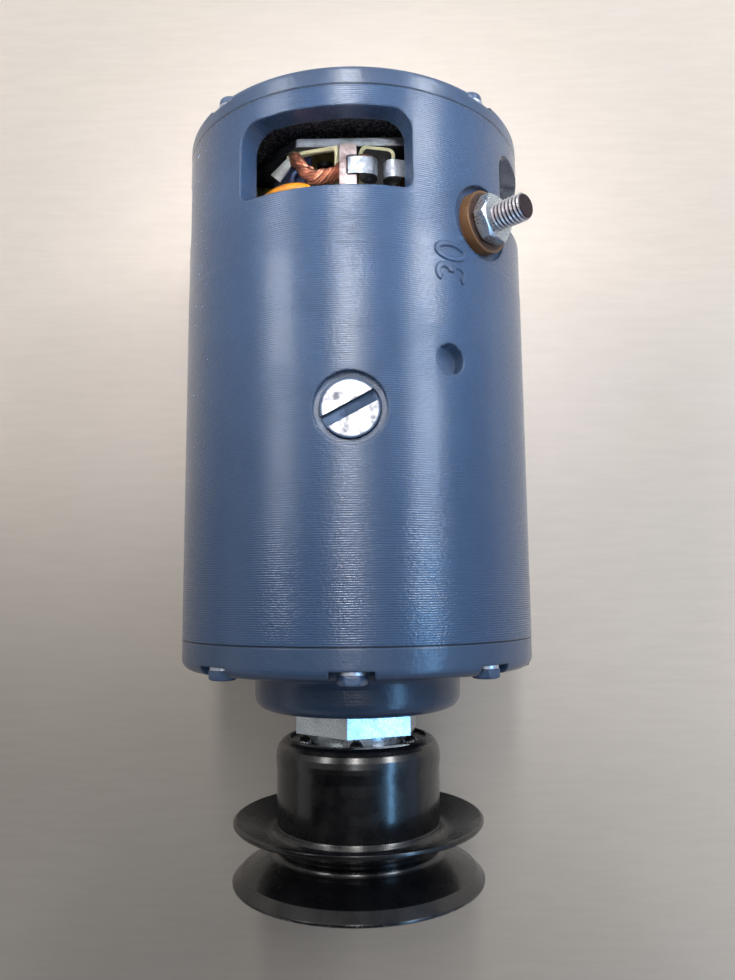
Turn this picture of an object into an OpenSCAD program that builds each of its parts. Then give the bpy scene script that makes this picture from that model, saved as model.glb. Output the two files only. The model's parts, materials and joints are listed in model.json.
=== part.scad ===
// Starter generator: a motor and dynamo in one round housing, driven by a V belt.
// The shaft lies along Y. +Y is the commutator end and -Y the pulley end, and +Z points up.
// The origin is on the shaft axis, at the middle of the pole housing.
// Angles around the shaft are counted from +Z towards +X.

/* [Pole housing] */
// Outside diameter of the pole housing
body_d = 112; // [108:0.5:118]
// Length of the pole housing from joint face to joint face
body_len = 157; // [150:1:170]
// Wall of the pole housing
body_wall = 7; // [6.5:0.1:8]
// Distance of the brush windows from the commutator end joint face
window_edge = 6.5; // [4:0.5:8]
// Length of a brush window along the shaft
window_len = 23.8; // [22:0.1:30]
// Angle that a brush window spans
window_angle = 54; // [44:1:54]
// Turn of the first brush window from the top
window_turn = -8; // [-9:1:-5]
// Corner radius of a brush window
window_corner = 6.5; // [3:0.5:9]
// Corner radius of a window on its inner side, away from the commutator end
window_low_corner = 3; // [2:0.5:6]
// Diameter of the blind locating hole
locate_d = 9; // [6:0.5:12]
// Depth of the blind locating hole
locate_depth = 4.5; // [3:0.5:5]
// Turn of the locating hole from the top
locate_turn = 30; // [26:1:34]

/* [Poles and field] */
// Bore between the pole shoes
pole_bore = 67; // [66.6:0.1:68]
// Length of the pole shoes along the shaft
pole_len = 70; // [60:1:74]
// Distance of the pole centres from the middle of the housing, towards the pulley
pole_shift = 15; // [12:1:18]
// Width of a pole core
pole_core_w = 26; // [22:1:28]
// Angle that a pole shoe spans
pole_angle = 72; // [64:1:76]
// Thickness of a pole shoe at its tips
pole_tip = 3; // [2.5:0.1:3.5]
// Width of the winding beside a pole core
coil_w = 8; // [6:0.5:9]
// Diameter of the recess round a pole screw
pole_recess_d = 20.5; // [19:0.5:24]
// Diameter of a pole screw's head
pole_head_d = 16.5; // [14:0.5:18]
// Diameter of a pole screw's shank
pole_screw_d = 10; // [8:0.5:12]
// Width of the slot in a pole screw
pole_slot_w = 3.4; // [2:0.2:4]

/* [End shields] */
// Height of the drive end rim
drive_rim = 9; // [7.5:0.1:10]
// Height of the commutator end rim
comm_rim = 5.8; // [5:0.1:8]
// Rounding of the drive end rim
drive_round = 3; // [1:0.1:3.5]
// Diameter of the drive end bearing boss
drive_boss_d = 66; // [62:0.5:72]
// Reach of the drive end boss beyond the joint face
drive_boss_len = 22.1; // [21.5:0.1:26]
// Diameter of the commutator end bearing boss
comm_boss_d = 50; // [46:0.5:56]
// Reach of the commutator end boss beyond the joint face
comm_boss_len = 14.5; // [14:0.1:18]
// Length of the spigots that centre the shields in the housing
spigot_len = 3; // [2:0.1:4]

/* [Shield bolts] */
// Thread diameter of the shield bolts
bolt_d = 4; // [3:0.5:5]
// Width across the flats of a bolt head
bolt_af = 7; // [6:0.5:9]
// Height of a bolt head
bolt_head = 2.8; // [2:0.1:4]
// Thickness of a spring washer
washer_t = 1; // [0.8:0.1:1.4]
// Width of the notches in the rims
notch_w = 12; // [10:0.5:14]
// Depth of the drive end notches
drive_notch = 2.8; // [1.5:0.1:3]
// Depth of the commutator end notches
comm_notch = 1.8; // [1:0.1:2.5]

/* [Main terminal] */
// Turn of the main terminal from the top
terminal_turn = 45; // [40:1:46]
// Distance of the main terminal from the middle of the housing
terminal_y = 44; // [40:0.5:48]
// Diameter of the spot face round the main terminal
terminal_face_d = 22.5; // [20:0.5:23]
// Thread diameter of the main terminal stud
terminal_d = 8; // [6:1:10]
// Reach of the stud above the housing
terminal_reach = 15; // [13:0.5:20]
// Width across the flats of the main terminal nut
terminal_af = 13; // [12:0.5:16]
// Height of the main terminal nut
terminal_nut_h = 4.2; // [3.5:0.1:8]
// Diameter of the insulating washer
insulator_d = 18.5; // [16:0.5:20]

/* [Field terminals] */
// Turn of the two field terminals from the top
field_turn = 128; // [126:1:130]
// Distance between the two field terminals
field_pitch = 17; // [15:0.5:19]
// Thread diameter of a field terminal stud
field_d = 5; // [4:0.5:6]
// Reach of a field terminal stud above the housing
field_reach = 10; // [8:0.5:12]

/* [Brush gear] */
// Width of the brush plate across its main flats
plate_w = 71.2; // [68:0.2:73]
// Thickness of the brush plate
plate_t = 2.5; // [2:0.1:3]
// Gap between the brush plate and the commutator end shield
plate_gap = 3.3; // [2:0.1:4]
// Turn of a brush box from the middle of its station
box_turn = 14.2; // [14.2:0.1:16]
// Turn of the whole brush gear from the poles
gear_turn = -0.9; // [-5:0.1:0]
// Width of a brush around the shaft
brush_w = 8.6; // [8:0.1:8.8]
// Width of a brush along the shaft
brush_l = 15.2; // [14:0.1:16]
// Distance of the brush top from the shaft axis
brush_top = 36.2; // [35.5:0.1:37]
// Wall of a brush box
box_wall = 1.2; // [1:0.1:1.3]
// Width of a spring ribbon
ribbon_w = 5.4; // [4:0.1:6]
// Thickness of a spring ribbon
ribbon_t = 0.4; // [0.3:0.05:0.6]
// Diameter of a spring roll
roll_d = 6; // [5:0.1:6]
// Diameter of a copper pigtail
pigtail_d = 3.8; // [3:0.1:4]

/* [Armature] */
// Diameter of the laminated core
core_d = 66; // [64:0.1:66.4]
// Number of armature slots
core_slots = 24; // [12:1:30]
// Width of an armature slot
slot_w = 3.2; // [2:0.1:4]
// Depth of an armature slot
slot_depth = 12; // [8:0.5:14]
// Diameter of the commutator track
comm_d = 39; // [36:0.5:40]
// Number of commutator bars
comm_bars = 48; // [24:12:60]
// Length of the commutator track
comm_len = 27; // [25:0.5:28]
// Diameter of the shaft in the drive end bearing
shaft_d = 17; // [15:0.5:18]
// Diameter of the shaft in the commutator end bearing
tail_d = 15; // [12:0.5:16]

/* [Bearings] */
// Outside diameter of the drive end bearing
drive_bearing_d = 40; // [38:0.5:42]
// Width of the drive end bearing
drive_bearing_w = 12; // [11:0.5:13]
// Outside diameter of the commutator end bearing
comm_bearing_d = 35; // [33:0.5:36]
// Width of the commutator end bearing
comm_bearing_w = 11; // [9:0.5:11.5]

/* [Pulley] */
// Outside diameter of the pulley flanges
pulley_d = 79; // [74:0.5:90]
// Outside diameter of the pulley drum
drum_d = 51.8; // [50.6:0.2:54]
// Wall of the pulley drum
drum_wall = 2; // [1.5:0.1:2.5]
// Length of the pulley drum
drum_len = 41; // [38:0.5:46]
// Rounding of the drum's shoulder
drum_round = 4.3; // [2:0.1:4.3]
// Width across the flats of the hub's hexagon
hex_af = 36; // [34:0.5:37]
// Length of the hub's hexagon
hex_len = 6.9; // [5:0.1:8]
// Length of the collar between the hexagon and the drum
collar_len = 2.6; // [2:0.1:5]
// Slope of the belt groove's sides from a flat disc
groove_slope = 23; // [17:0.5:25]
// Distance from the drum's top to the root of the inner flange
groove_start = 29.9; // [27:0.1:31]
// Width of the belt groove at its root
groove_root = 3.3; // [2.5:0.1:5]
// Thickness of the flange sheet
flange_t = 1.8; // [1.5:0.1:2.2]
// Fillet between the drum and its flanges
flange_fillet = 2.5; // [1:0.1:2.7]
// Radius of the circle of pulley rivets
rivet_circle = 19; // [18.9:0.1:19.3]
// Diameter of a rivet head
rivet_head_d = 4.8; // [4:0.1:4.8]

/* [Hidden] */
$fn = 96;
// Running clearance of parts that turn or slide, on the radius
run_gap = 0.06;
// Clearance of a screw in its hole, on the radius
screw_gap = 0.1;
// Air gap between a brush and the commutator
brush_gap = 0.3;
poles = 4;
pole_pitch = 360 / poles;
drive_bolts = 8;
rivets = 6;

body_r = body_d / 2;
bore_r = body_r - body_wall;
half_len = body_len / 2;
rim_r = body_r - 0.1;
bolt_r = body_r - body_wall / 2 - 0.5;
bolt_len = 14;
window_y = half_len - window_edge - window_len / 2;
window_w = body_r * sin(window_angle / 2);
band_y = terminal_y - terminal_face_d / 2 - 1.5;

pole_r = pole_bore / 2;
pole_neck_r = pole_r + pole_tip;
pole_head_r = body_r - 1.4;
pole_head_t = 4;
coil_round = 6;
coil_top_r = bore_r - 0.6;
coil_split_r = pole_neck_r + 0.47 * (coil_top_r - pole_neck_r);
coil_gap = 0.3;

spigot_r = bore_r - 0.05;
spigot_t = 3.5;
drive_boss_r = drive_boss_d / 2;
comm_boss_r = comm_boss_d / 2;
shoulder_t = 1;
felt_t = 2.3;
retainer_t = 2;
drive_seat = drive_boss_len - 1.5 - felt_t - shoulder_t - drive_bearing_w;
comm_web_in = -1;
comm_seat = comm_boss_len - 2 - comm_bearing_w;

terminal_floor_r = body_r - 2;
insulator_t = 3.2;
terminal_nut_top = terminal_floor_r + insulator_t + terminal_nut_h;
terminal_end = body_r + terminal_reach;
terminal_core_r = terminal_d / 2 - 0.65;
field_end = body_r + field_reach;
field_core_r = field_d / 2 - 0.45;
field_floor_r = body_r - 1.2;
field_nut_top = field_floor_r + 2 + 4.8;

plate_top = half_len + comm_web_in - plate_gap;
plate_low = plate_top - plate_t;
plate_hole_r = 24.5;
plate_corner_w = plate_w * 1.033;
plate_screw_r = plate_w / 2 - 6.6;
box_low_r = 24;
lead_rivet_r = box_low_r + 4;
box_top_r = brush_top - 0.5;
box_in_w = brush_w + 2 * 0.15;
box_in_l = brush_l + 2 * 0.15;
box_w = box_in_w + 2 * box_wall;
box_l = box_in_l + 2 * box_wall;
box_round = 2.4;
box_y = plate_low - box_l / 2;
roll_r = roll_d / 2;
roll_x = 3.8;
roll_z = brush_top + roll_r;
ribbon_y = box_y - 1;
bracket_w = 5.2;
bracket_t = 1.5;
bracket_foot = box_low_r + 4;
bracket_top = roll_z + roll_r + 0.1;
slot_h = ribbon_w + 2 * 0.4;
bracket_low = box_y - box_l / 2 - bracket_t;
bracket_high = ribbon_y + slot_h / 2 + 3.8;
box_flare = 6;
flare_drop = 1.2;
tab_off = 12.8;
tab_turn = -box_turn - tab_off;
tab_t = 1.3;
tab_low = (box_top_r - flare_drop) * cos(tab_off) + (box_w / 2 + box_flare) * sin(tab_off) + 0.3;
tab_top = tab_low + tab_t;
tab_screw_x = 3;
tab_screw_y = box_y - 2.8;
pig_r = pigtail_d / 2;

comm_r = comm_d / 2;
core_r = core_d / 2;
core_low = -pole_shift - pole_len / 2;
core_high = -pole_shift + pole_len / 2;
comm_end = plate_top + 1.3;
comm_start = comm_end - comm_len;
riser_t = 3;
riser_r = comm_r + 4;

bearing_groove = 0.05;
drive_in_r = 12.2;
comm_in_r = 10.6;

// Distances along the drive end are counted outwards from the joint face
hub_start = drive_seat + drive_bearing_w;
hex_start = drive_boss_len + 0.7;
hex_end = hex_start + hex_len;
drum_start = hex_end + collar_len;
hub_sleeve_r = 12.4;
hub_collar_r = 16.5;
hub_spigot_r = 14;
backing_t = 4;
hub_end = drum_start + drum_wall + backing_t + 1.7;
drum_r = drum_d / 2;
lip_r = rivet_circle + rivet_head_d / 2 + 0.2;
lip_h = 0.8;
pulley_r = pulley_d / 2;
flange_rise = tan(groove_slope);
inner_root = drum_start - lip_h + groove_start;
outer_root = inner_root + flange_t / cos(groove_slope) + groove_root;
nut_h = 8;
nut_washer_t = 2;
thread_d = 12;

// Points of an arc about [x, y], from angle a to angle b
function arc(x, y, r, a, b, n = 5) =
    [for (i = [0 : n]) [x + r * cos(a + (b - a) * i / n), y + r * sin(a + (b - a) * i / n)]];

// A point at a turn around the shaft, a radius and a place along it
function around(turn, r, y) = [r * sin(turn), y, r * cos(turn)];

function unit(v) = v / norm(v);

// A smooth curve through hand-chosen points
function blend_point(a, b, c, d, t) =
    0.5 * (2 * b + (c - a) * t + (2 * a - 5 * b + 4 * c - d) * t * t
           + (3 * b - a - 3 * c + d) * t * t * t);
function smooth_path(p, n) = concat(
    [for (i = [0 : len(p) - 2], k = [0 : n - 1])
        blend_point(p[max(i - 1, 0)], p[i], p[i + 1], p[min(i + 2, len(p) - 1)], k / n)],
    [p[len(p) - 1]]);

function heading(p, i) = unit(p[min(i + 1, len(p) - 1)] - p[max(i - 1, 0)]);

// One round tube along a path, closed at both ends
module tube_along(path, r, sides, side_way) {
    rings = [for (i = [0 : len(path) - 1])
        let (t = heading(path, i), u = unit(cross(t, side_way)), v = cross(t, u))
        [for (k = [0 : sides - 1]) path[i] + r * (cos(360 * k / sides) * u + sin(360 * k / sides) * v)]];
    last = len(path) - 1;
    polyhedron(
        points = [for (ring = rings) each ring],
        faces = concat(
            [[for (k = [0 : sides - 1]) sides - 1 - k]],
            [for (i = [0 : last - 1], k = [0 : sides - 1])
                [i * sides + k, i * sides + (k + 1) % sides,
                 (i + 1) * sides + (k + 1) % sides, (i + 1) * sides + k]],
            [[for (k = [0 : sides - 1]) last * sides + k]]));
}

// A profile of [radius, place along Y] points spun about the shaft
module turned(points) {
    rotate([-90, 0, 0]) rotate_extrude() polygon(points);
}

// A ring about the shaft from y = a to y = b
module ring(a, b, outer, inner) {
    translate([0, a, 0]) rotate([-90, 0, 0]) difference() {
        cylinder(h = b - a, r = outer);
        translate([0, 0, -1]) cylinder(h = b - a + 2, r = inner);
    }
}

// Turns a thing built at the top to its place around the shaft
module at_turn(a) {
    rotate([0, a, 0]) children();
}

module each_pole() {
    for (i = [0 : poles - 1]) at_turn(i * pole_pitch) children();
}

// Distances outwards from the joint face become places along the shaft
module at_drive_end() {
    mirror([0, 1, 0]) translate([0, half_len, 0]) children();
}

module at_comm_end() {
    translate([0, half_len, 0]) children();
}

module rounded_rect(w, h, r) {
    square([w - 2 * r, h], center = true);
    square([w, h - 2 * r], center = true);
    for (x = [-1, 1], y = [-1, 1]) translate([x * (w / 2 - r), y * (h / 2 - r)]) circle(r);
}

// A rod standing on the shaft axis and pointing up, from one radius to another
module post(low, high, r, y = 0) {
    translate([0, y, low]) cylinder(h = high - low, r = r);
}

module hex_post(low, high, af, y = 0) {
    translate([0, y, low]) cylinder(h = high - low, r = af / sqrt(3), $fn = 6);
}

// A rod along Y at the top of a circle round the shaft
module bolt_rod(a, b, r, at) {
    translate([0, a, at]) rotate([-90, 0, 0]) cylinder(h = b - a, r = r);
}

// Half of a brush window. Its side wall lies in a plane through the shaft.
module window_half() {
    low = bore_r * cos(window_angle / 2) - 1;
    reach = window_w + 1.5;
    half = window_len / 2;
    translate([0, window_y, low]) linear_extrude(body_r + 1 - low) {
        translate([window_corner, -half]) square([reach - window_corner, window_len]);
        translate([window_low_corner, -half]) square([reach - window_low_corner, window_len - window_corner]);
        translate([0, window_low_corner - half])
            square([reach, window_len - window_corner - window_low_corner]);
        translate([window_corner, half - window_corner]) circle(window_corner);
        translate([window_low_corner, window_low_corner - half]) circle(window_low_corner);
    }
}

module window_cut() {
    at_turn(window_turn) {
        at_turn(-window_angle / 2) window_half();
        at_turn(window_angle / 2) mirror([1, 0, 0]) window_half();
    }
}

module pole_housing() {
    color([0.31, 0.39, 0.50]) difference() {
        union() {
            ring(-half_len, band_y, body_r, bore_r);
            ring(band_y - 1, half_len, body_r - 0.1, bore_r);
        }
        each_pole() {
            window_cut();
            translate([0, -pole_shift, 0]) {
                post(body_r - 2.6, body_r + 1, pole_recess_d / 2);
                post(pole_head_r - pole_head_t, body_r, pole_head_d / 2 + 0.2);
                post(bore_r - 2, body_r, pole_screw_d / 2 + screw_gap);
            }
            at_turn(pole_pitch / 2)
                bolt_rod(half_len - bolt_len, half_len + 1, bolt_d / 2 + screw_gap, bolt_r);
        }
        for (i = [0 : drive_bolts - 1]) at_turn(i * 360 / drive_bolts)
            bolt_rod(-half_len - 1, bolt_len - half_len, bolt_d / 2 + screw_gap, bolt_r);
        at_turn(locate_turn) post(body_r - locate_depth, body_r + 1, locate_d / 2);
        at_turn(terminal_turn) {
            post(terminal_floor_r, body_r + 1, terminal_face_d / 2, terminal_y);
            post(bore_r - 2, body_r, terminal_d / 2 + 2, terminal_y);
        }
        at_turn(field_turn) for (y = [-1, 1]) translate([0, terminal_y + y * field_pitch / 2, 0]) {
            post(field_floor_r, body_r + 1, 7);
            post(bore_r - 2, body_r, field_d / 2 + 1.5);
        }
    }
}

// The pocket for one bolt head, open at the rim. It is cut from the end face, s = high.
module notch(low, high, reach) {
    bolt_rod(low, high, notch_w / 2, bolt_r);
    translate([-notch_w / 2, low, bolt_r]) cube([notch_w, high - low, reach]);
}

module drive_end_shield() {
    r = drive_round;
    fillet = 4.5;
    corner = 4;
    groove_end = drive_boss_len - 1.5;
    profile = concat(
        [[drive_bearing_d / 2, drive_seat], [drive_boss_r - 3, drive_seat], [drive_boss_r - 3, 2.5],
         [spigot_r - spigot_t, 2.5], [spigot_r - spigot_t, -spigot_len], [spigot_r, -spigot_len],
         [spigot_r, 0], [rim_r, 0]],
        arc(rim_r - r, drive_rim - r, r, 0, 90),
        arc(drive_boss_r + fillet, drive_rim + fillet, fillet, 270, 180),
        arc(drive_boss_r - corner, drive_boss_len - corner, corner, 0, 90),
        [[hub_sleeve_r + 2, drive_boss_len], [hub_sleeve_r + 2, groove_end],
         [17.5, groove_end], [17.5, groove_end - felt_t],
         [16.5, groove_end - felt_t], [16.5, drive_seat + drive_bearing_w],
         [drive_bearing_d / 2, drive_seat + drive_bearing_w]]);
    color([0.29, 0.37, 0.48]) at_drive_end() difference() {
        turned(profile);
        for (i = [0 : drive_bolts - 1]) at_turn(i * 360 / drive_bolts) {
            notch(drive_rim - drive_notch, drive_rim + 1, body_wall);
            bolt_rod(-1, drive_rim, bolt_d / 2 + screw_gap, bolt_r);
        }
        for (i = [0 : 2]) at_turn(60 + i * 120)
            bolt_rod(drive_seat - 1, drive_seat + 8, 1.5 + screw_gap, drive_bearing_d / 2 + 4.5);
    }
}

module commutator_end_shield() {
    r = 1.5;
    seat_r = comm_bearing_d / 2;
    web = 4;
    profile = concat(
        [[seat_r - 3.5, comm_web_in], [spigot_r - spigot_t, comm_web_in],
         [spigot_r - spigot_t, -spigot_len], [spigot_r, -spigot_len], [spigot_r, 0], [rim_r, 0]],
        arc(rim_r - r, comm_rim - r, r, 0, 90),
        [[bolt_r - 7.5, comm_rim], [bolt_r - 9, web]],
        arc(comm_boss_r + 2, web + 2, 2, 270, 180),
        arc(comm_boss_r - r, comm_boss_len - r, r, 0, 90),
        [[seat_r, comm_boss_len], [seat_r, comm_seat], [seat_r - 3.5, comm_seat]]);
    color([0.29, 0.37, 0.48]) at_comm_end() difference() {
        union() {
            turned(profile);
            each_pole() translate([-1.75, 0, 0]) rotate([90, 0, 90]) linear_extrude(3.5)
                    polygon([[web - 1, comm_boss_r - 2], [comm_boss_len - 5, comm_boss_r - 2],
                             [web, bolt_r - 8], [web - 1, bolt_r - 8]]);
        }
        each_pole() {
            at_turn(pole_pitch / 2) {
                notch(comm_rim - comm_notch, comm_rim + 1, body_wall);
                bolt_rod(-1, comm_rim, bolt_d / 2 + screw_gap, bolt_r);
                bolt_rod(comm_web_in - 1, comm_web_in + 4, 2 + screw_gap, 29);
            }
        }
    }
}

// The shank of a shield bolt, from inside the housing to a head that starts at s = head
module bolt_shank(head) {
    bolt_rod(2 - bolt_len, head + 0.5, bolt_d / 2, bolt_r);
}

module drive_end_bolts() {
    head = drive_rim - drive_notch + washer_t;
    color([0.30, 0.37, 0.47]) at_drive_end() for (i = [0 : drive_bolts - 1])
        at_turn(i * 360 / drive_bolts) {
            bolt_shank(head);
            translate([0, head, bolt_r]) rotate([-90, 0, 0]) nut_body(0, bolt_head, bolt_af);
        }
}

// Round-headed screws whose heads have a well rounded edge
module commutator_end_bolts() {
    head = comm_rim - comm_notch + washer_t;
    r = bolt_af / 2;
    edge = 1.3;
    color([0.30, 0.37, 0.47]) at_comm_end() each_pole() at_turn(pole_pitch / 2) {
        bolt_shank(head);
        translate([0, head, bolt_r]) rotate([-90, 0, 0]) rotate_extrude() polygon(concat(
            [[0, 0], [r, 0]], arc(r - edge, bolt_head - edge, edge, 0, 90), [[0, bolt_head]]));
    }
}

// A split ring under a bolt head
module spring_washer(seat) {
    outer = bolt_d / 2 + 1.8;
    translate([0, seat, bolt_r]) rotate([-90, 0, 0]) difference() {
        cylinder(h = washer_t, r = outer);
        translate([0, 0, -1]) cylinder(h = washer_t + 2, r = bolt_d / 2 + 0.1);
        translate([bolt_d / 2 - 0.5, -0.35, -1]) cube([4, 0.7, washer_t + 2]);
    }
}

module spring_washers() {
    color([0.55, 0.58, 0.62]) {
        at_drive_end() for (i = [0 : drive_bolts - 1])
            at_turn(i * 360 / drive_bolts) spring_washer(drive_rim - drive_notch);
        at_comm_end() for (i = [0 : poles - 1])
            at_turn((i + 0.5) * pole_pitch) spring_washer(comm_rim - comm_notch);
    }
}

module pole_screws() {
    slot_depth = 1.8;
    color([0.70, 0.69, 0.66]) each_pole() translate([0, -pole_shift, 0]) difference() {
        union() {
            post(pole_head_r - pole_head_t, pole_head_r, pole_head_d / 2);
            post(pole_neck_r + 1, pole_head_r - pole_head_t + 1, pole_screw_d / 2);
        }
        rotate([0, 0, 28]) translate([-pole_head_d, -pole_slot_w / 2, pole_head_r - slot_depth])
            cube([2 * pole_head_d, pole_slot_w, slot_depth + 1]);
    }
}

// One pole: a shoe curved round the armature on a core that seats in the housing
module pole_shoe() {
    half = pole_angle / 2;
    far = bore_r * 1.5;
    translate([0, pole_len / 2, 0]) rotate([90, 0, 0]) linear_extrude(pole_len) difference() {
        union() {
            intersection() {
                difference() {
                    circle(pole_neck_r);
                    circle(pole_r);
                }
                polygon([[0, 0], [far * sin(half), far * cos(half)], [-far * sin(half), far * cos(half)]]);
            }
            intersection() {
                difference() {
                    circle(bore_r);
                    circle(pole_r);
                }
                translate([-pole_core_w / 2, 0]) square([pole_core_w, bore_r + 1]);
            }
        }
    }
}

module pole_shoes() {
    color([0.35, 0.35, 0.37]) each_pole() translate([0, -pole_shift, 0]) difference() {
        pole_shoe();
        post(pole_neck_r + 0.5, bore_r + 1, pole_screw_d / 2 + screw_gap);
    }
}

// A coil round a pole core between two radii, kept clear of the housing
module pole_coil(low, high) {
    gap = coil_gap;
    translate([0, -pole_shift, 0]) intersection() {
        translate([0, 0, low]) linear_extrude(high - low) difference() {
            rounded_rect(pole_core_w + 2 * coil_w, pole_len + 2 * coil_w, coil_round);
            square([pole_core_w + 2 * gap, pole_len + 2 * gap], center = true);
        }
        translate([0, pole_len, 0]) rotate([90, 0, 0]) cylinder(h = 2 * pole_len, r = coil_top_r);
    }
}

module shunt_coils() {
    color([0.60, 0.30, 0.16]) each_pole() pole_coil(pole_neck_r + 0.3, coil_split_r);
}

module series_coils() {
    color([0.72, 0.45, 0.25]) each_pole() pole_coil(coil_split_r + 0.2, coil_top_r);
}

// The yellow-sleeved lead that loops up behind the first window
module field_lead() {
    r = bore_r - 6.2;
    foot = core_high + coil_w;
    rise = box_y - 6.1 - foot;
    path = smooth_path([
        around(-46, r, foot - 2), around(-43.5, r, foot + 0.34 * rise), around(-40, r, foot + 0.75 * rise),
        around(-35.5, r, foot + 0.945 * rise), around(-30, r, foot + rise),
        around(-24, r, foot + 0.94 * rise), around(-18.5, r, foot + 0.75 * rise),
        around(-15, r, foot + 0.41 * rise), around(-14, r, foot + 0.5)], 3);
    color([0.90, 0.62, 0.10]) tube_along(path, 1.8, 12, around(-29, 1, 0));
}

module terminal_stud() {
    color([0.78, 0.78, 0.74]) at_turn(terminal_turn) {
        post(bore_r - 4.4, terminal_nut_top, terminal_core_r, terminal_y);
        post(terminal_nut_top, terminal_end, terminal_d / 2, terminal_y);
        hex_post(bore_r - 6.4, bore_r - 2.6, 12, terminal_y);
    }
}

// A hexagon whose corners are turned off at its top, and at its foot too where foot is given
module nut_body(low, high, af, foot = false) {
    corner = af / sqrt(3) + 0.02;
    face = af * 0.475;
    drop = (corner - face) * tan(30);
    start = foot ? [[0, low], [face, low], [corner, low + drop]] : [[0, low], [corner, low]];
    intersection() {
        hex_post(low, high, af);
        rotate_extrude() polygon(concat(start, [[corner, high - drop], [face, high], [0, high]]));
    }
}

module terminal_nut() {
    low = terminal_floor_r + insulator_t;
    color([0.80, 0.80, 0.76]) at_turn(terminal_turn) translate([0, terminal_y, 0]) difference() {
        nut_body(low, terminal_nut_top, terminal_af, true);
        post(low - 1, terminal_nut_top + 1, terminal_core_r);
    }
}

// The outer washer with its collar through the wall, and the inner washer
module terminal_insulators() {
    collar = terminal_d / 2 + 1.9;
    color([0.48, 0.28, 0.15]) at_turn(terminal_turn) difference() {
        union() {
            post(terminal_floor_r, terminal_floor_r + insulator_t, insulator_d / 2, terminal_y);
            post(bore_r - 1, terminal_floor_r + 0.5, collar, terminal_y);
            post(bore_r - 2.6, bore_r - 0.8, insulator_d / 2 - 1.5, terminal_y);
        }
        post(bore_r - 3, body_r + 2, terminal_core_r, terminal_y);
    }
}

module each_field_terminal() {
    at_turn(field_turn) for (y = [-1, 1]) translate([0, terminal_y + y * field_pitch / 2, 0]) children();
}

module field_terminal_studs() {
    color([0.78, 0.78, 0.74]) each_field_terminal() {
        post(bore_r - 3, field_nut_top, field_core_r);
        post(field_nut_top, field_end, field_d / 2);
        hex_post(bore_r - 4.6, bore_r - 1.8, 8);
    }
}

module field_terminal_nuts() {
    low = field_floor_r + 2;
    color([0.80, 0.80, 0.76]) each_field_terminal() difference() {
        union() {
            post(low, low + 0.8, 5);
            nut_body(low + 0.8, field_nut_top, 8);
        }
        post(low - 1, field_nut_top + 1, field_core_r);
    }
}

module field_terminal_insulators() {
    color([0.48, 0.28, 0.15]) each_field_terminal() difference() {
        union() {
            post(field_floor_r, field_floor_r + 2, 6.2);
            post(bore_r - 0.6, field_floor_r + 0.5, field_d / 2 + 1.4);
            post(bore_r - 1.8, bore_r - 0.4, 5.5);
        }
        post(bore_r - 3, body_r + 2, field_core_r);
    }
}

module brush_plate() {
    color([0.70, 0.71, 0.72]) translate([0, plate_top, 0]) rotate([90, 0, 0]) linear_extrude(plate_t)
        difference() {
            intersection() {
                square(plate_w, center = true);
                rotate([0, 0, 45]) square(plate_corner_w, center = true);
            }
            circle(plate_hole_r);
            for (i = [0 : poles - 1]) {
                rotate([0, 0, 45 + i * pole_pitch]) translate([plate_screw_r, 0]) circle(2 + screw_gap);
                rotate([0, 0, i * pole_pitch + box_turn + 2.5 - gear_turn])
                    translate([0, lead_rivet_r]) circle(1.5);
            }
        }
}

// Cheese-head screws with a spacer ring each, between plate and shield
module brush_plate_screws() {
    color([0.62, 0.60, 0.50]) each_pole() at_turn(pole_pitch / 2) {
        bolt_rod(plate_low - 2.4, plate_low, 3.4, plate_screw_r);
        bolt_rod(plate_low - 1, half_len + comm_web_in + 3.5, 2, plate_screw_r);
        difference() {
            bolt_rod(plate_top, plate_top + plate_gap, 3.6, plate_screw_r);
            bolt_rod(plate_top - 1, plate_top + plate_gap + 1, 2, plate_screw_r);
        }
    }
}

// Copies at the four stations of the brush gear
module each_station() {
    at_turn(gear_turn) each_pole() children();
}

module box_tube(height) {
    linear_extrude(height) difference() {
        rounded_rect(box_w, box_l, box_round);
        rounded_rect(box_in_w, box_in_l, box_round - box_wall);
    }
}

module brush_boxes() {
    color([0.62, 0.60, 0.40]) each_station() at_turn(box_turn)
        translate([0, box_y, box_low_r]) box_tube(box_top_r - box_low_r);
}

// The box that guides the pigtail. Its outer wall is bent away from the brush.
module lead_box() {
    half = box_w / 2;
    knee = box_low_r + 4;
    far = half + box_flare;
    lip = box_top_r - flare_drop;
    end_wall = [[-half, box_low_r], [half, box_low_r], [half, box_top_r],
                [-half - 1, box_top_r], [-far, lip], [-half, knee]];
    side_wall = [[-half, box_low_r], [-half + box_wall, box_low_r], [-half + box_wall, knee - 0.5],
                 [-far + box_wall * 1.3, lip], [-far, lip], [-half, knee]];
    translate([0, box_y + box_l / 2, 0]) rotate([90, 0, 0]) {
        linear_extrude(box_wall) polygon(end_wall);
        translate([0, 0, box_l - box_wall]) linear_extrude(box_wall) polygon(end_wall);
        linear_extrude(box_l) polygon(side_wall);
        translate([half - box_wall, box_low_r, 0]) cube([box_wall, box_top_r - box_low_r, box_l]);
    }
}

module lead_boxes() {
    color([0.62, 0.60, 0.40]) each_station() difference() {
        at_turn(-box_turn) lead_box();
        at_turn(-box_turn - 2.5) bolt_rod(plate_low - box_wall - 1, plate_low + 1, 1.5, lead_rivet_r);
    }
}

module lead_rivets() {
    color([0.40, 0.36, 0.33]) each_station() at_turn(-box_turn - 2.5) {
        bolt_rod(plate_low - box_wall - 1.6, plate_low - box_wall, 2.6, lead_rivet_r);
        bolt_rod(plate_low - box_wall - 0.5, plate_top + 0.5, 1.5, lead_rivet_r);
        bolt_rod(plate_top, plate_top + 1.3, 2.6, lead_rivet_r);
    }
}

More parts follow.
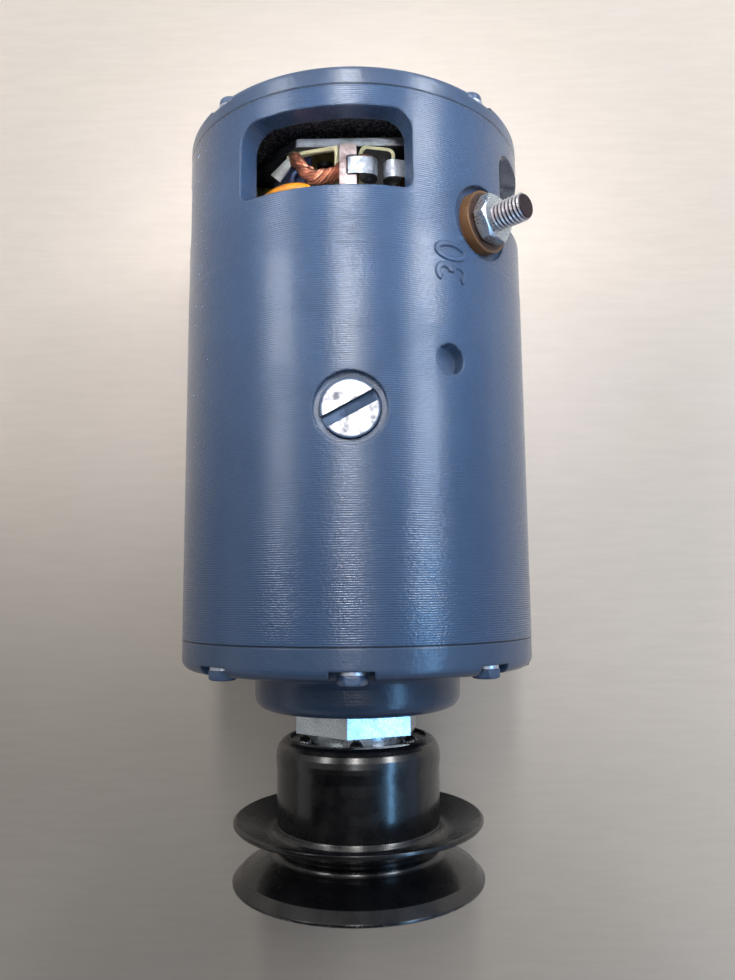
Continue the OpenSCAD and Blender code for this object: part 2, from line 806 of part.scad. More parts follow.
// A strip across the ends of the boxes that turns up and ends in a C over them.
// The spring ribbon hooks into the slot of the C. left and right are the reaches of its foot.
module spring_bracket(left, right) {
    half = bracket_w / 2;
    translate([-half, bracket_low, bracket_foot]) cube([bracket_w, bracket_t, bracket_top - bracket_foot]);
    translate([-half - left, bracket_low, bracket_foot]) cube([left + bracket_w + right, bracket_t, 4]);
    difference() {
        translate([-half, bracket_low, bracket_top - bracket_t])
            cube([bracket_w, bracket_high - bracket_low, bracket_t]);
        translate([-half + 1.5, ribbon_y - slot_h / 2, bracket_top - bracket_t - 1])
            cube([bracket_w, slot_h, bracket_t + 2]);
    }
}

module spring_brackets() {
    color([0.66, 0.60, 0.60]) each_station() {
        spring_bracket(5, 5);
        at_turn(2 * box_turn) mirror([1, 0, 0]) spring_bracket(0, 5);
    }
}

// A slanting tab over the lead box, with a leg that goes down outside it
module lead_tabs() {
    outline = [[-7.4, -3.4], [-1, -3.4], [0, -6], [6, -6], [6, 5.6], [-1, 5.6], [-7.4, 0]];
    color([0.78, 0.79, 0.80]) each_station() at_turn(tab_turn) difference() {
        union() {
            translate([0, box_y, tab_low]) linear_extrude(tab_t) polygon(outline);
            translate([-7.4, box_y - 3.4, 27]) cube([tab_t, 3.4, tab_low + tab_t - 27]);
        }
        translate([tab_screw_x, 0, 0]) post(tab_low - 1, tab_top + 1, 1.5 + screw_gap, tab_screw_y);
    }
}

module lead_screws() {
    color([0.22, 0.28, 0.40]) each_station() at_turn(tab_turn) translate([tab_screw_x, 0, 0]) {
        post(tab_top, tab_top + 1.3, 2.8, tab_screw_y);
        post(tab_low - 3.4, tab_top + 0.5, 1.5, tab_screw_y);
        hex_post(tab_low - 2.4, tab_low, 5.5, tab_screw_y);
    }
}

// The copper braid from the top of each brush, under the bracket and over the lead box to its tab
module pigtails() {
    t = box_turn;
    y = box_y;
    low = brush_top + 0.4;
    bend = pig_r + 0.5;
    pass = bracket_top - bracket_t - pig_r - 0.6;
    high = tab_top + 1.3 + pig_r + 0.4;
    path = smooth_path([
        around(t, low, y + 4.9), around(t - 0.4, low + 0.5 * bend, y + 4.9),
        around(t - 1.9, low + 0.87 * bend, y + 4.9), around(t - 3.9, low + bend, y + 4.8),
        around(t - 8, low + bend, y + 4.3), around(t - 11.5, pass + 0.3, y + 3.8),
        around(t - 15.5, pass, y + 2), around(t - 20.5, pass + 0.5, y - 0.6),
        around(t - 28, pass + 2.4, y - 4.6), around(t - 35, high, y - 2), around(t - 39.5, high, y + 2),
        around(t - 42, tab_top + pig_r + 0.7, y + 4.6), around(t - 43.5, tab_top + pig_r + 0.3, y + 6.4)], 2);
    color([0.60, 0.35, 0.24]) each_station() tube_along(path, pig_r, 8, [0.15, 1, 0.1]);
}

// One brush with its foot ground to the commutator
module brush(i) {
    color([0.16, 0.16, 0.17]) at_turn(gear_turn + box_turn + (i - 1) * pole_pitch) difference() {
        translate([0, box_y, comm_r - 3]) linear_extrude(brush_top - comm_r + 3)
            rounded_rect(brush_w, brush_l, box_round - box_wall);
        translate([0, box_y - brush_l, 0]) rotate([-90, 0, 0])
            cylinder(h = 2 * brush_l, r = comm_r + brush_gap);
    }
}

// The section of one rolled ribbon, in the plane across the shaft
module ribbon_section() {
    hook_x = bracket_top * sin(box_turn) - 0.6;
    hook_z = bracket_top * cos(box_turn) - 0.4;
    t = ribbon_t;
    difference() {
        translate([-roll_x, roll_z]) circle(roll_r);
        translate([-roll_x, roll_z]) circle(roll_r - 4 * t);
    }
    polygon([[-roll_x, roll_z + roll_r - t], [-roll_x, roll_z + roll_r],
             [-hook_x, hook_z + t], [-hook_x - t, hook_z], [-hook_x - t, hook_z - 1.3],
             [-hook_x, hook_z - 1.3], [-hook_x, hook_z]]);
}

// The two rolled ribbons that press on one brush from both sides
module brush_springs(i) {
    color([0.50, 0.54, 0.60]) at_turn(gear_turn + box_turn + (i - 1) * pole_pitch)
        for (side = [0, 1]) mirror([side, 0, 0])
            translate([0, ribbon_y + ribbon_w / 2, 0]) rotate([90, 0, 0])
                linear_extrude(ribbon_w) ribbon_section();
}

module bearing_retainer() {
    color([0.60, 0.60, 0.58]) at_drive_end() difference() {
        ring(drive_seat - retainer_t, drive_seat, drive_boss_r - 4, drive_bearing_d / 2 - 2.5);
        for (i = [0 : 2]) at_turn(60 + i * 120)
            bolt_rod(drive_seat - 4, drive_seat + 1, 1.5 + screw_gap, drive_bearing_d / 2 + 4.5);
    }
}

module retainer_screws() {
    color([0.50, 0.50, 0.50]) at_drive_end() for (i = [0 : 2]) at_turn(60 + i * 120) {
        bolt_rod(drive_seat - retainer_t - 1.8, drive_seat - retainer_t, 2.7, drive_bearing_d / 2 + 4.5);
        bolt_rod(drive_seat - retainer_t - 0.5, drive_seat + 7, 1.5, drive_bearing_d / 2 + 4.5);
    }
}

module felt_seal() {
    low = drive_boss_len - 1.5 - felt_t;
    color([0.45, 0.42, 0.36]) at_drive_end() ring(low, low + felt_t, 17.5, hub_sleeve_r + run_gap);
}

// A bearing ring with a ball groove, between two radii
module bearing_ring(start, w, outer, inner, pitch_r, ball_r) {
    translate([0, start, 0]) rotate([-90, 0, 0]) rotate_extrude() difference() {
        translate([inner, 0]) square([outer - inner, w]);
        translate([pitch_r, w / 2]) circle(ball_r + bearing_groove);
    }
}

// Balls of a bearing, set on the pitch circle
module ball_ring(start, w, pitch_r, ball_r, count) {
    for (i = [0 : count - 1]) at_turn(i * 360 / count)
        translate([0, start + w / 2, pitch_r]) sphere(ball_r);
}

module ball_cage(start, w, pitch_r, ball_r, count) {
    difference() {
        ring(start + w * 0.2, start + w * 0.8, pitch_r + 0.9, pitch_r - 0.9);
        for (i = [0 : count - 1]) at_turn(i * 360 / count)
            translate([0, start + w / 2, pitch_r]) sphere(ball_r + 0.1);
    }
}

drive_pitch_r = (drive_bearing_d + shaft_d) / 4;
drive_ball_r = 3.37;
comm_pitch_r = (comm_bearing_d + tail_d) / 4;
comm_ball_r = 2.97;
ball_count = 8;

module drive_bearing_outer() {
    color([0.75, 0.76, 0.78]) at_drive_end()
        bearing_ring(drive_seat, drive_bearing_w, drive_bearing_d / 2,
                     2 * drive_pitch_r - drive_in_r, drive_pitch_r, drive_ball_r);
}

module drive_bearing_inner() {
    color([0.75, 0.76, 0.78]) at_drive_end()
        bearing_ring(drive_seat, drive_bearing_w, drive_in_r, shaft_d / 2, drive_pitch_r, drive_ball_r);
}

module drive_bearing_balls() {
    color([0.80, 0.81, 0.83]) at_drive_end()
        ball_ring(drive_seat, drive_bearing_w, drive_pitch_r, drive_ball_r, ball_count);
}

module drive_bearing_cage() {
    color([0.70, 0.60, 0.35]) at_drive_end()
        ball_cage(drive_seat, drive_bearing_w, drive_pitch_r, drive_ball_r, ball_count);
}

module commutator_bearing_outer() {
    color([0.75, 0.76, 0.78]) at_comm_end()
        bearing_ring(comm_seat, comm_bearing_w, comm_bearing_d / 2,
                     2 * comm_pitch_r - comm_in_r, comm_pitch_r, comm_ball_r);
}

module commutator_bearing_inner() {
    color([0.75, 0.76, 0.78]) at_comm_end()
        bearing_ring(comm_seat, comm_bearing_w, comm_in_r, tail_d / 2, comm_pitch_r, comm_ball_r);
}

module commutator_bearing_balls() {
    color([0.80, 0.81, 0.83]) at_comm_end()
        ball_ring(comm_seat, comm_bearing_w, comm_pitch_r, comm_ball_r, ball_count);
}

module commutator_bearing_cage() {
    color([0.70, 0.60, 0.35]) at_comm_end()
        ball_cage(comm_seat, comm_bearing_w, comm_pitch_r, comm_ball_r, ball_count);
}

// A pressed cap that closes the commutator end boss
module bearing_cap() {
    r = comm_bearing_d / 2;
    low = comm_boss_len - 1.6;
    color([0.29, 0.37, 0.48]) at_comm_end() turned(concat(
        [[0, low + 1], [r - 1.6, low + 1], [r - 1.6, low], [r, low], [r, comm_boss_len]],
        arc(r - 2, comm_boss_len, 1.6, 30, 90), [[0, comm_boss_len + 1.6]]));
}

module armature_shaft() {
    joint = half_len;
    taper_start = -joint - hub_start - 0.4;
    taper_end = -joint - hub_end;
    color([0.62, 0.63, 0.65]) difference() {
        turned([[0, joint + comm_seat + comm_bearing_w + 0.5],
                [tail_d / 2 - 0.5, joint + comm_seat + comm_bearing_w + 0.5],
                [tail_d / 2, joint + comm_seat + comm_bearing_w],
                [tail_d / 2, joint + comm_seat], [tail_d / 2 + 2, joint + comm_seat],
                [tail_d / 2 + 2, comm_start - riser_t], [11, comm_start - riser_t],
                [11, core_low - 8], [12, core_low - 8], [12, -joint - drive_seat],
                [shaft_d / 2, -joint - drive_seat], [shaft_d / 2, taper_start],
                [shaft_d / 2 - 1.3, taper_end], [thread_d / 2, taper_end],
                [thread_d / 2, taper_end - nut_washer_t - nut_h - 2],
                [0, taper_end - nut_washer_t - nut_h - 2]]);
        key_block();
    }
}

// The key that stops the hub turning on the shaft
module key_block() {
    at_drive_end() translate([-2, hub_end - 14, shaft_d / 2 - 3.4]) cube([4, 10, 4.6]);
}

module shaft_key() {
    color([0.45, 0.45, 0.45]) key_block();
}

module core_sheet() {
    difference() {
        circle(core_r);
        circle(11);
        for (i = [0 : core_slots - 1]) rotate([0, 0, i * 360 / core_slots]) {
            translate([-slot_w / 2, core_r - slot_depth]) square([slot_w, slot_depth - 1.4]);
            translate([-0.8, core_r - 2]) square([1.6, 3]);
        }
    }
}

module armature_core() {
    color([0.30, 0.30, 0.31]) translate([0, core_high, 0]) rotate([90, 0, 0])
        linear_extrude(pole_len) core_sheet();
}

// Winding bars in the slots, joined at each end of the core by a bound overhang
module armature_winding() {
    low = core_r - slot_depth + 0.2;
    bar_h = slot_depth - 2;
    color([0.55, 0.25, 0.13]) {
        for (i = [0 : core_slots - 1]) at_turn(i * 360 / core_slots)
            translate([-slot_w / 2 + 0.15, core_low - 1, low])
                cube([slot_w - 0.3, pole_len + 2, bar_h]);
        turned(overhang(low, core_high + 0.3, comm_start - riser_t - core_high - 0.6, core_r - 8));
        mirror([0, 1, 0]) turned(overhang(low, 0.3 - core_low, 11, core_r - 4));
    }
}

// One bound end of the winding: it starts at the core and tapers to end_r
function overhang(low, start, reach, end_r) = concat(
    [[low - 6, start], [core_r - 2, start], [core_r - 2, start + 7]],
    arc(end_r - 2, start + reach - 2, 2, 20, 90, 3),
    arc(low - 4, start + reach - 2, 2, 90, 180, 3));

module commutator_bars() {
    color([0.72, 0.42, 0.26]) translate([0, comm_end, 0]) rotate([90, 0, 0]) {
        linear_extrude(comm_len) difference() {
            circle(comm_r);
            circle(comm_r - 5);
            for (i = [0 : comm_bars - 1]) rotate([0, 0, i * 360 / comm_bars])
                translate([-0.3, comm_r - 1.2]) square([0.6, 3]);
        }
        translate([0, 0, comm_len]) linear_extrude(riser_t) difference() {
            circle(riser_r);
            circle(comm_r - 5);
            for (i = [0 : comm_bars - 1]) rotate([0, 0, i * 360 / comm_bars])
                translate([-0.3, comm_r - 1.2]) square([0.6, riser_r]);
        }
    }
}

module commutator_sleeve() {
    color([0.20, 0.12, 0.08]) ring(comm_start - riser_t, comm_end, comm_r - 5, tail_d / 2 + 2);
}

module hub_bore() {
    at_drive_end() turned([[0, hub_start - 1], [shaft_d / 2, hub_start - 1], [shaft_d / 2, hub_start + 0.4],
                           [shaft_d / 2 - 1.3, hub_end], [shaft_d / 2 - 1.3, hub_end + 1], [0, hub_end + 1]]);
}

// The plated hub: a sleeve in the boss, a spanner hexagon, a collar and a spigot in the drum
module pulley_hub() {
    top = drum_start + drum_wall;
    color([0.80, 0.78, 0.66]) difference() {
        at_drive_end() {
            turned([[0, hub_start], [hub_sleeve_r, hub_start], [hub_sleeve_r, hex_start + 1],
                    [0, hex_start + 1]]);
            translate([0, hex_start, 0]) rotate([-90, 22.5, 0]) hex_post(0, hex_len, hex_af);
            turned([[0, hex_end - 1], [hub_collar_r, hex_end - 1], [hub_collar_r, drum_start],
                    [hub_spigot_r, drum_start], [hub_spigot_r, top + backing_t],
                    [hub_spigot_r - 1.5, hub_end], [0, hub_end]]);
        }
        hub_bore();
        key_block();
    }
}

module each_rivet() {
    for (i = [0 : rivets - 1]) at_turn(i * 360 / rivets) children();
}

module pulley_backing_ring() {
    low = drum_start + drum_wall;
    color([0.10, 0.10, 0.12]) at_drive_end() difference() {
        ring(low, low + backing_t, drum_r - drum_wall - 1.4, hub_spigot_r);
        each_rivet() bolt_rod(low - 1, low + backing_t + 1, 1.6, rivet_circle);
    }
}

// A cup with a thick edge at its shoulder. The hub's spigot goes through its end.
module pulley_drum() {
    shoulder_r = drum_r + 0.3;
    in_r = drum_r - drum_wall;
    top = drum_start - lip_h;
    end = top + drum_len;
    corner = min(drum_round, shoulder_r - lip_r - 0.3);
    drop = 1.3 * corner;
    color([0.07, 0.07, 0.09]) at_drive_end() difference() {
        turned(concat(
            [[hub_spigot_r, drum_start], [lip_r, drum_start], [lip_r + 0.2, top]],
            [for (p = arc(0, 0, 1, 270, 360))
                [shoulder_r - corner + corner * p[0], top + drop + drop * p[1]]],
            [[shoulder_r, top + drop + 1.5], [drum_r, top + drop + 4.5], [drum_r, end], [in_r, end]],
            arc(in_r - 1.2, drum_start + drum_wall + 1.2, 1.2, 0, -90),
            [[hub_spigot_r, drum_start + drum_wall]]));
        each_rivet() bolt_rod(drum_start - 2, drum_start + drum_wall + 1, 1.6, rivet_circle);
    }
}

module pulley_rivets() {
    low = drum_start;
    tail = drum_start + drum_wall + backing_t;
    dome = rivet_head_d / 2;
    color([0.10, 0.10, 0.12]) at_drive_end() each_rivet() {
        bolt_rod(low - 0.5, tail + 0.5, 1.6, rivet_circle);
        intersection() {
            translate([0, low + 0.2, rivet_circle]) sphere(dome);
            translate([-dome, low - dome, rivet_circle - dome]) cube([2 * dome, dome, 2 * dome]);
        }
        bolt_rod(tail, tail + 1.2, 2.5, rivet_circle);
    }
}

// The dished sheet ring on the body side of the belt groove
// The fillet between the drum's wall and a flange face that leaves it at a root with a slope.
// side is -1 where the fillet lies nearer to the body than the face, and 1 where it lies beyond it.
function root_fillet(root, slope, side) =
    let (r = flange_fillet, turn = side < 0 ? atan2(1, -slope) : 180 + atan2(1, -slope))
    arc(drum_r + r, root + slope * r + side * r * sqrt(1 + slope * slope), r,
        side < 0 ? 180 : turn, side < 0 ? turn : 180);

module pulley_inner_flange() {
    t = flange_t / cos(groove_slope);
    tip = inner_root - (pulley_r - 0.8 - drum_r) * flange_rise;
    color([0.07, 0.07, 0.09]) at_drive_end() turned(concat(
        root_fillet(inner_root, -flange_rise, -1),
        [[pulley_r - 0.8, tip], [pulley_r, tip + 0.5], [pulley_r, tip + t - 0.7], [pulley_r - 0.6, tip + t]],
        root_fillet(inner_root + t, -flange_rise, 1)));
}

// The outer sheet ring. Its rim turns further away, which leaves a bevelled band.
module pulley_outer_flange() {
    t = flange_t / cos(groove_slope);
    bend_r = pulley_r - 2.6;
    bend = outer_root + (bend_r - drum_r) * flange_rise;
    end = bend + 3.5;
    skirt = drum_start - lip_h + drum_len;
    color([0.07, 0.07, 0.09]) at_drive_end() turned(concat(
        root_fillet(outer_root, flange_rise, -1),
        [[bend_r, bend], [pulley_r, bend + 2.6],
        [pulley_r, end - 0.3], [pulley_r - 0.3, end], [pulley_r - 1.8, end], [bend_r - 0.6, bend + t],
        [drum_r + 2.4, outer_root + t + 0.8], [drum_r + 1.6, outer_root + t + 1.4],
        [drum_r + 1.6, skirt], [drum_r, skirt]]));
}

module pulley_spring_washer() {
    color([0.45, 0.46, 0.48]) at_drive_end() difference() {
        ring(hub_end, hub_end + nut_washer_t, 10.2, thread_d / 2 + 0.2);
        translate([-0.6, hub_end - 1, 4]) cube([1.2, nut_washer_t + 2, 8]);
    }
}

module pulley_nut() {
    low = hub_end + nut_washer_t;
    color([0.66, 0.66, 0.62]) at_drive_end() difference() {
        translate([0, low, 0]) rotate([-90, 0, 0]) nut_body(0, nut_h, 19);
        translate([0, low - 1, 0]) rotate([-90, 0, 0]) cylinder(h = nut_h + 2, r = thread_d / 2);
    }
}

pole_housing();
drive_end_shield();
commutator_end_shield();
drive_end_bolts();
commutator_end_bolts();
spring_washers();
pole_screws();
pole_shoes();
shunt_coils();
series_coils();
field_lead();
terminal_stud();
terminal_nut();
terminal_insulators();
field_terminal_studs();
field_terminal_nuts();
field_terminal_insulators();
brush_plate();
brush_plate_screws();
brush_boxes();
lead_boxes();
lead_rivets();
spring_brackets();
lead_tabs();
lead_screws();
pigtails();
bearing_retainer();
retainer_screws();
felt_seal();
drive_bearing_outer();
commutator_bearing_outer();
bearing_cap();
armature_shaft();
armature_core();
armature_winding();
commutator_bars();
commutator_sleeve();
drive_bearing_inner();
commutator_bearing_inner();
pulley_hub();
shaft_key();
pulley_backing_ring();
pulley_drum();
pulley_inner_flange();
pulley_outer_flange();
pulley_rivets();
pulley_spring_washer();
pulley_nut();
drive_bearing_cage();
drive_bearing_balls();
commutator_bearing_cage();
commutator_bearing_balls();
for (i = [1 : poles]) brush(i);
for (i = [1 : poles]) brush_springs(i);
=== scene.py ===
import json
import logging
import math
from dataclasses import dataclass
from enum import Enum
from typing import Iterable, Optional, Sequence, Union

import bmesh
import bpy
from mathutils import Matrix, Vector

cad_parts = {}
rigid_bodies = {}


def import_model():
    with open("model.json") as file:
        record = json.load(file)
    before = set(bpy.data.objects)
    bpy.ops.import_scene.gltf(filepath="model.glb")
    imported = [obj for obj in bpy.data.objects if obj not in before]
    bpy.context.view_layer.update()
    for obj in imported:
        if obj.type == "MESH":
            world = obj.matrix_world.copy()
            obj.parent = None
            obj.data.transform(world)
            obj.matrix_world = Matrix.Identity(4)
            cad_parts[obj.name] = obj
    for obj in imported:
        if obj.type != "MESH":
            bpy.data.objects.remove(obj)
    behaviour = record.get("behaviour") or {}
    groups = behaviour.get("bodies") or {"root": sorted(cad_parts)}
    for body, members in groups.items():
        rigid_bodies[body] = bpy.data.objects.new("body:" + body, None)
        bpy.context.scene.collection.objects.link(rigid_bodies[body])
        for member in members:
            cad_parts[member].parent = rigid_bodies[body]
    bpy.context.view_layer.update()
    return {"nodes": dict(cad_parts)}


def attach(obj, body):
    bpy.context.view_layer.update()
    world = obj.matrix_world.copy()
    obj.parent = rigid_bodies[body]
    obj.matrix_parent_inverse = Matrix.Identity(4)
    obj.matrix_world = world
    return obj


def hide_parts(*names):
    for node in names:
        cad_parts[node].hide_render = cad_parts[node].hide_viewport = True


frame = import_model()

log = logging.getLogger("starter_generator")

MM = 0.001
Colour = tuple[float, float, float]
Socket = bpy.types.NodeSocket
Value = Union[float, Colour, Socket]


class Grain(Enum):
    """Which way the marks of a tool run on a metal."""

    AROUND_SHAFT = (0.02, 1.0, 0.02)
    CROSSED = (1.0, 1.0, 1.0)


class Body(str, Enum):
    """The body that most new pieces ride on, and the four that carry a brush each."""

    HOUSING = "housing"
    BRUSH_1 = "brush_1"
    BRUSH_2 = "brush_2"
    BRUSH_3 = "brush_3"
    BRUSH_4 = "brush_4"


def polar(turn: float, radius: float, y: float) -> Vector:
    """A point at a turn in degrees from the top, a radius and a place along the shaft, from millimetres."""
    a = math.radians(turn)
    return Vector((radius * math.sin(a), y, radius * math.cos(a))) * MM


def linear(red: int, green: int, blue: int) -> Colour:
    """A colour in linear light from the 0 to 255 numbers of a swatch."""
    return tuple((c / 255 / 12.92) if c < 11 else ((c / 255 + 0.055) / 1.055) ** 2.4
                 for c in (red, green, blue))


class Nodes:
    """A node tree in the making, with short calls for its nodes and links."""

    def __init__(self, tree: bpy.types.NodeTree) -> None:
        """Keeps the tree that the nodes go into."""
        self.tree = tree

    def add(self, kind: str, inputs: dict, **settings: object) -> bpy.types.Node:
        """Adds a node.

        Args:
            kind: Blender's name of the node type.
            inputs: Values or sockets for its inputs, by name or number.
            **settings: Properties of the node.

        Returns:
            The new node.
        """
        node = self.tree.nodes.new(kind)
        for key, value in settings.items():
            setattr(node, key, value)
        for key, value in inputs.items():
            self.feed(node.inputs[key], value)
        return node

    def feed(self, socket: Socket, value: Value) -> None:
        """Links a socket to an input, or sets the input's own value.

        Args:
            socket: The input.
            value: The socket that feeds it, or its number, vector or colour.
        """
        if isinstance(value, Socket):
            self.tree.links.new(value, socket)
        elif isinstance(value, tuple) and socket.type == "RGBA":
            socket.default_value = (*value, 1.0)
        else:
            socket.default_value = value

    def calc(self, operation: str, a: Value, b: Value = 0.0, c: Value = 0.0) -> Socket:
        """One step of arithmetic."""
        return self.add("ShaderNodeMath", {0: a, 1: b, 2: c}, operation=operation).outputs[0]

    def plus(self, a: Value, b: Value) -> Socket:
        """The sum of two values."""
        return self.calc("ADD", a, b)

    def minus(self, a: Value, b: Value) -> Socket:
        """The first value less the second."""
        return self.calc("SUBTRACT", a, b)

    def times(self, a: Value, b: Value) -> Socket:
        """The product of two values."""
        return self.calc("MULTIPLY", a, b)

    def size(self, a: Value) -> Socket:
        """A value without its sign."""
        return self.calc("ABSOLUTE", a)

    def far(self, a: Value, b: Value) -> Socket:
        """The distance that two distances square to each other give."""
        return self.calc("SQRT", self.plus(self.times(a, a), self.times(b, b)))


class Shader(Nodes):
    """A material in the making, whose places are in millimetres of the part's frame."""

    def __init__(self, name: str) -> None:
        """Starts a material with one principled surface.

        Args:
            name: Name of the material.
        """
        self.material = bpy.data.materials.new(name)
        self.material.use_nodes = True
        super().__init__(self.material.node_tree)
        self.tree.nodes.clear()
        self.surface = self.tree.nodes.new("ShaderNodeBsdfPrincipled")
        out = self.tree.nodes.new("ShaderNodeOutputMaterial")
        self.tree.links.new(self.surface.outputs[0], out.inputs[0])
        coords = self.tree.nodes.new("ShaderNodeTexCoord").outputs["Object"]
        self.place = self.stretch((1000, 1000, 1000), coords)

    def stretch(self, scale: Sequence[float], place: Optional[Socket] = None) -> Socket:
        """The coordinates scaled along each axis."""
        return self.add("ShaderNodeMapping", {"Vector": place or self.place, "Scale": tuple(scale)}).outputs[0]

    def split(self) -> list[Socket]:
        """How far a place is across, along and above the shaft."""
        return list(self.add("ShaderNodeSeparateXYZ", {0: self.place}).outputs)

    def noise(self, scale: float, detail: float = 2.0, rough: float = 0.5,
              place: Optional[Socket] = None) -> Socket:
        """Soft noise from 0 to 1.

        Args:
            scale: Lumps per millimetre.
            detail: Number of finer layers.
            rough: Strength of each finer layer next to the one before.
            place: Coordinates, where they aren't the plain ones.

        Returns:
            The noise.
        """
        node = self.add("ShaderNodeTexNoise", {"Vector": place or self.place, "Scale": scale,
                                               "Detail": detail, "Roughness": rough})
        return node.outputs[0]

    def remap(self, value: Value, low: float, high: float, to_low: float = 0.0,
              to_high: float = 1.0) -> Socket:
        """A value moved from one range to another and clamped there, with soft ends."""
        return self.add("ShaderNodeMapRange", {0: value, 1: low, 2: high, 3: to_low, 4: to_high},
                        interpolation_type="SMOOTHSTEP").outputs[0]

    def blend(self, share: Value, a: Value, b: Value) -> Socket:
        """A mix of two colours."""
        return self.add("ShaderNodeMix", {0: share, 6: a, 7: b}, data_type="RGBA").outputs[2]

    def relief(self, height: Value, depth: float, normal: Optional[Socket] = None) -> Socket:
        """A normal roughened by a height.

        Args:
            height: The height, mostly from 0 to 1.
            depth: What a height of 1 is, in millimetres.
            normal: The normal that it starts from.

        Returns:
            The rough normal.
        """
        inputs = {"Height": height, "Distance": depth * MM, "Strength": 1.0}
        if normal:
            inputs["Normal"] = normal
        return self.add("ShaderNodeBump", inputs).outputs[0]

    def rounded(self, radius: float) -> Socket:
        """A normal that rounds sharp edges by a radius in millimetres."""
        return self.add("ShaderNodeBevel", {"Radius": radius * MM}, samples=4).outputs[0]

    def close(self, **inputs: Value) -> bpy.types.Material:
        """Sets the surface's inputs, with underscores for spaces, and gives the material."""
        for key, value in inputs.items():
            self.feed(self.surface.inputs[key.replace("_", " ")], value)
        return self.material


@dataclass(frozen=True)
class HousingPaint:
    """Slate blue enamel over a turned or a cast surface.

    The turning marks are shallow waves along the shaft. Their smooth lands shine through a thin clear coat, and
    the valleys between them are duller, with painted shade darkening their colour. A dark line fills the seam
    between two castings, and the inside of a cast shield is bare, grainy metal.
    """

    name: str
    colour: Colour = (0.044, 0.09, 0.19)
    pale: Colour = (0.053, 0.104, 0.212)
    dust: Colour = (0.02, 0.03, 0.05)
    # Colour of the painted shade in the valleys of the turning marks.
    shaded_valley: Colour = (0.02, 0.035, 0.07)
    seam_dirt: Colour = (0.008, 0.012, 0.02)
    bare_dark: Colour = (0.07, 0.075, 0.09)
    bare_light: Colour = (0.6, 0.62, 0.66)
    pitch: float = 0.63
    groove: float = 0.075
    peel: float = 0.11
    cast: float = 0.0
    roughness: float = 0.2
    seam: float = 78.5
    bare_inside: float = 0.0
    bare_r: float = 48.6
    even_coat: float = 0.5

    def marks(self, s: Shader, y: Socket) -> tuple[Socket, Socket]:
        """The turning marks.

        Args:
            s: The material in the making.
            y: Place along the shaft.

        Returns:
            The height of the marks in millimetres, and the share of clear coat on their lands.
        """
        patch = s.remap(s.noise(0.05, 2), 0.35, 0.65, 0.4, 1.0)
        wobble = s.times(s.noise(0.35, 2), 2.2)
        wave = s.calc("SINE", s.plus(s.times(y, math.tau / self.pitch), wobble))
        depth = s.times(patch, s.remap(s.noise(0.9, 3), 0.3, 0.7, 0.45, 1.0))
        broken = s.calc("MULTIPLY_ADD", s.noise(1.1, 3, 0.6), 3.0, -1.5)
        swing = min(self.even_coat, 8 * self.groove)
        land = s.remap(s.plus(wave, broken), -0.1, 0.6, self.even_coat - swing, self.even_coat + swing)
        return s.times(s.times(wave, depth), self.groove / 2), land

    def build(self) -> bpy.types.Material:
        """Builds the enamel.

        Returns:
            The material.
        """
        s = Shader(self.name)
        x, y, z = s.split()
        height = s.times(s.noise(0.95, 3, 0.7), self.peel)
        land: Value = self.even_coat
        if self.groove:
            ripple, land = self.marks(s, y)
            height = s.plus(height, ripple)
        if self.cast:
            height = s.plus(height, s.times(s.noise(0.42, 5, 0.7), self.cast))
        base = s.blend(s.remap(s.noise(0.12, 4, 0.6), 0.25, 0.8, 0.0, 0.4), self.colour, self.pale)
        base = s.blend(s.remap(s.noise(2.1, 2, 0.6), 0.69, 0.74, 0.0, 0.35), base, self.dust)
        gap = s.size(s.minus(s.size(y), self.seam))
        base = s.blend(s.remap(gap, 0.1, 0.28, 0.85, 0.0), base, self.seam_dirt)
        # Painted shade: the valleys between the turning marks are darkened in colour, and they are also
        # rougher.
        shaded_valley = s.minus(1.0, land)
        base = s.blend(s.times(shaded_valley, 0.3), base, self.shaded_valley)
        rough = s.remap(s.noise(0.3, 2), 0.2, 0.8, self.roughness, self.roughness + 0.06)
        rough = s.calc("MULTIPLY_ADD", shaded_valley, 0.08, rough)
        if self.bare_inside:
            inside = s.times(s.remap(s.far(x, z), self.bare_r - 0.2, self.bare_r + 0.2, 1.0, 0.0),
                             s.remap(s.size(y), self.bare_inside, self.bare_inside + 0.4, 1.0, 0.0))
            grains = s.remap(s.noise(1.3, 3, 0.7), 0.46, 0.68)
            base = s.blend(inside, base, s.blend(grains, self.bare_dark, self.bare_light))
        normal = s.relief(height, 1.0, s.rounded(1.1))
        return s.close(Base_Color=base, Roughness=rough, Specular_IOR_Level=0.3, Coat_Weight=land,
                       Coat_Roughness=0.05, Normal=normal, Coat_Normal=normal)


@dataclass(frozen=True)
class RoundPatch:
    """A round stud or screw, seen towards the shaft: where its finish is dark, and where it has its own tone.

    It leans by 45 degrees from the top, or it stands at the top, the sides and the bottom.
    """

    leans: bool
    y: float
    dark_r: float
    own_r: float

    def share(self, s: Shader) -> Socket:
        """How much of the metal's own tone a place has.

        Args:
            s: The material in the making.

        Returns:
            A share from 0 to 1.
        """
        x, y, z = s.split()
        if self.leans:
            across = s.times(s.minus(x, z), math.sqrt(0.5))
        else:
            across = s.calc("MINIMUM", s.size(x), s.size(z))
        return s.remap(s.far(across, s.minus(y, self.y)), self.dark_r, self.own_r)


